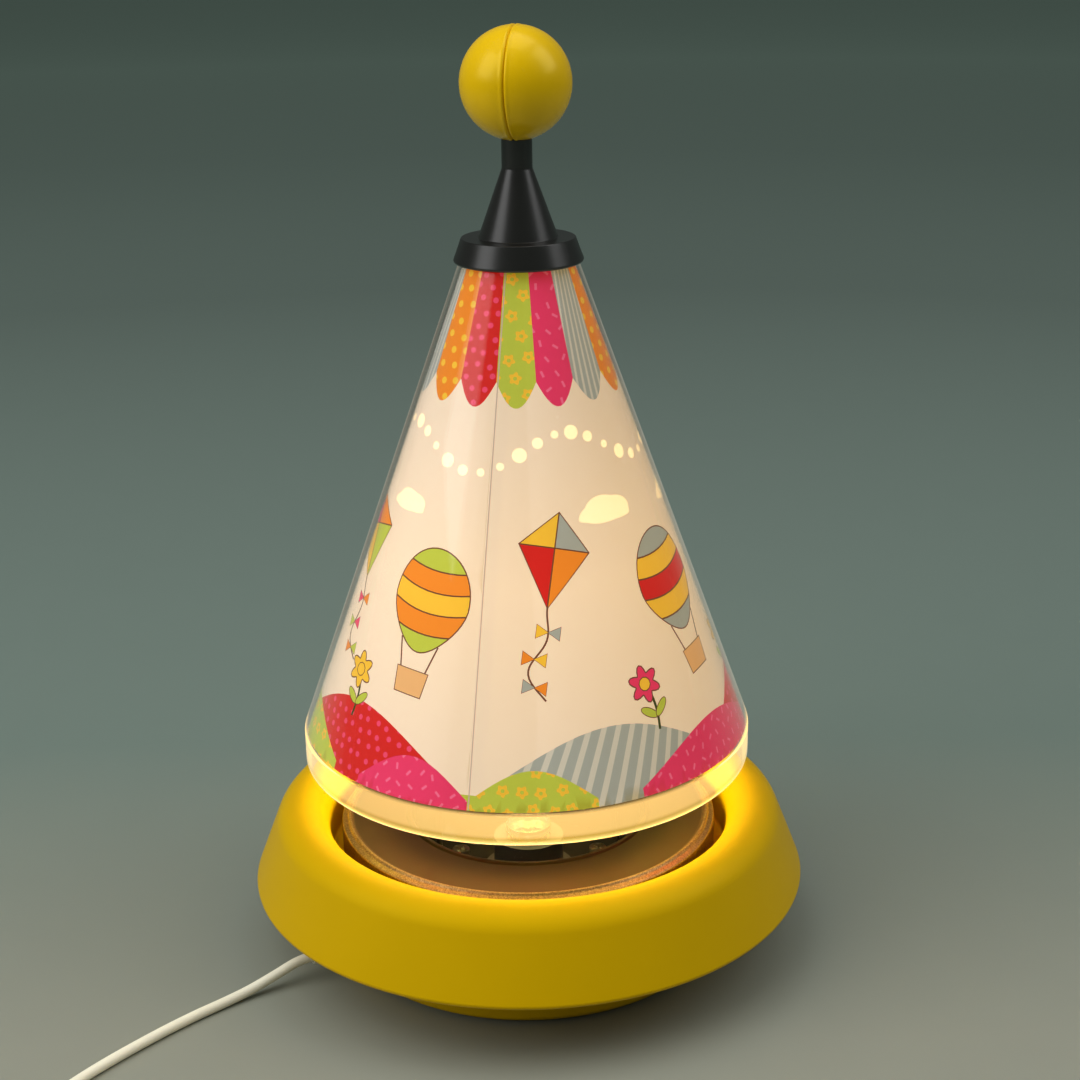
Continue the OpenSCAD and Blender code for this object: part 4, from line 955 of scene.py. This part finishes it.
def half_ball(name, side):
    """Half of a hollow ball on one side of an upright plane through its middle: circles round
    the axis square to that plane, from its pole to the seam. Near the seam a low lip rises and
    the edge drops in. The inside follows at the wall's thickness."""
    angle = np.linspace(0, np.pi / 2 - SEAM_GAP / BALL_RADIUS, 140)
    left = BALL_RADIUS * (np.pi / 2 - angle)
    radius = (BALL_RADIUS + 0.16 * np.exp(-((left - 0.9) / 0.6) ** 2)
              - 0.55 * np.exp(-(left / 0.28) ** 2))
    outer = np.stack([radius * np.sin(angle), radius * np.cos(angle)], axis=1)
    inner = outer[::-1] * ((BALL_RADIUS - BALL_WALL) / BALL_RADIUS)
    inner[:, 1] = np.maximum(inner[:, 1], SEAM_GAP)
    outer[0, 0] = inner[-1, 0] = 0
    line = np.vstack([outer, inner])
    run = np.gradient(line, axis=0)
    run[len(outer) - 1], run[len(outer)] = run[len(outer) - 2], run[len(outer) + 1]
    normal = unit(np.stack([-run[:, 1], run[:, 0]], axis=1))
    normal[0], normal[-1] = (0, 1), (0, -1)
    points, facing, faces = turned((line * MM, normal), 128)
    t = math.radians(SEAM_TURN)
    axis = np.array([side * math.cos(t), -side * math.sin(t), 0])
    across = np.array([math.sin(t), math.cos(t), 0])
    frame_axes = np.stack([across * side, np.array([0, 0, 1.0]), axis])
    return shaped(name, (points @ frame_axes + [0, 0, BALL_Z * MM], facing @ frame_axes, faces))


ball_plastic = finish("ball plastic", moulded, {
    "Color": (0.78, 0.48, 0.001, 1), "Roughness": 0.24, "Grain": 1800.0, "Mottle": 0.04,
    "Depth": 0.00002}, Specular_IOR_Level=1.0, Specular_Tint=(1, 0.85, 0.2, 1))
for side, name in ((-1, "left"), (1, "right")):
    half = cover(half_ball("ball_" + name, side), ball_plastic)
    fit_in(half, "shade", "yellow_plastic", "ball_half_" + name)

# ---- Switch, tie and plug ----
# The switch is two ivory shells with a white rocker, held by one screw from below. A strip of
# black plastic ties the coil, and the flat plug has two nickelled round pins.
white_plastic = finish("white plastic", moulded, {
    "Color": (0.72, 0.71, 0.67, 1), "Roughness": 0.3, "Grain": 2200.0})
cover(nodes["switch_rocker"], white_plastic)
cover(nodes["coil_tie"], black_plastic)
cover(nodes["plug_pins"], nickel)

# ---- Studio ----
# Two wide soft boxes at the left and right give the light, two small ones there the sheen, and a
# weak one hangs above. The floor is flat grey-green paper with painted light and shade: warmer and
# lighter in front of the lamp, darker behind it, and lighter again far away. The world behind it
# gives the backdrop.


def soft_box(name, direction, distance, width, height, power, mirrored=True):
    """Area light at a distance from the lamp's middle, turned towards it. Glossy and clear
    pieces show it only where it is mirrored."""
    toward = Vector(direction).normalized()
    light = bpy.data.lights.new(name, "AREA")
    light.shape, light.size, light.size_y = "RECTANGLE", width, height
    light.energy = power
    lamp = bpy.data.objects.new(name, light)
    lamp.matrix_world = (Matrix.Translation(Vector((0, 0, 0.16)) + toward * distance)
                         @ toward.to_track_quat("Z", "Y").to_matrix().to_4x4())
    lamp.visible_glossy = lamp.visible_transmission = mirrored
    scene.collection.objects.link(lamp)


soft_box("key", (-0.64, -0.30, 0.78), 1.6, 1.8, 2.0, 25, False)
soft_box("side", (0.66, -0.07, 0.80), 1.6, 1.5, 1.6, 10, False)
soft_box("key_sheen", (-0.74, -0.32, 0.58), 1.6, 0.9, 1.2, 4.6)
soft_box("side_sheen", (0.74, -0.07, 0.67), 1.6, 0.8, 1.1, 3.6)
soft_box("above", (0.05, 0.1, 1), 1.8, 1.2, 1.2, 5)
world = bpy.data.worlds.new("studio")
world.use_nodes = True
tree = world.node_tree
seen = calc(tree, "MAXIMUM", node(tree, "LightPath").outputs["Is Camera Ray"],
            node(tree, "LightPath").outputs["Is Transmission Ray"])
backdrop = node(tree, "Mix", {0: seen, 6: (0.085, 0.10, 0.093, 1),
                              7: (0.045, 0.065, 0.055, 1)}, data_type="RGBA")
tree.links.new(backdrop.outputs[2], tree.nodes["Background"].inputs["Color"])
scene.world = world
scene.view_settings.view_transform = "Standard"
paper = finish("floor paper", moulded, {
    "Roughness": 0.6, "Haze": 0.05, "Grain": 700.0, "Depth": 0.00001, "Mottle": 0.04})
tree = paper.node_tree
place = node(tree, "TexCoord").outputs["Object"]
distance = node(tree, "VectorMath", {0: place}, operation="LENGTH").outputs["Value"]
depth = node(tree, "SeparateXYZ", {0: place}).outputs[1]
# Painted light and shade on the floor: warmer and lighter in front of the lamp, darker behind it,
# lighter far away.
painted_floor_light_and_shade = colour_ramp(tree, calc(
    tree, "MAXIMUM",
    node(tree, "MapRange", {"Value": depth, 1: -0.08, 2: 0.16, 3: 0.0, 4: 0.1}).outputs[0],
    node(tree, "MapRange", {"Value": distance, 1: 0.9, 2: 4.0}).outputs[0]),
    (0, (0.255, 0.26, 0.208)), (1, (0.46, 0.61, 0.52)), (0.1, (0.14, 0.185, 0.16)),
    (0.45, (0.24, 0.32, 0.275)))
tree.links.new(painted_floor_light_and_shade, tree.nodes["Group"].inputs["Color"])
FLOOR_RADIUS, FLOOR_SIDES = 14, 96
turn = np.linspace(0, 2 * np.pi, FLOOR_SIDES, endpoint=False)
floor_ring = np.stack([FLOOR_RADIUS * np.cos(turn), FLOOR_RADIUS * np.sin(turn), 0 * turn], axis=1)
cover(new_piece("floor", floor_ring, [list(range(FLOOR_SIDES))]), paper)
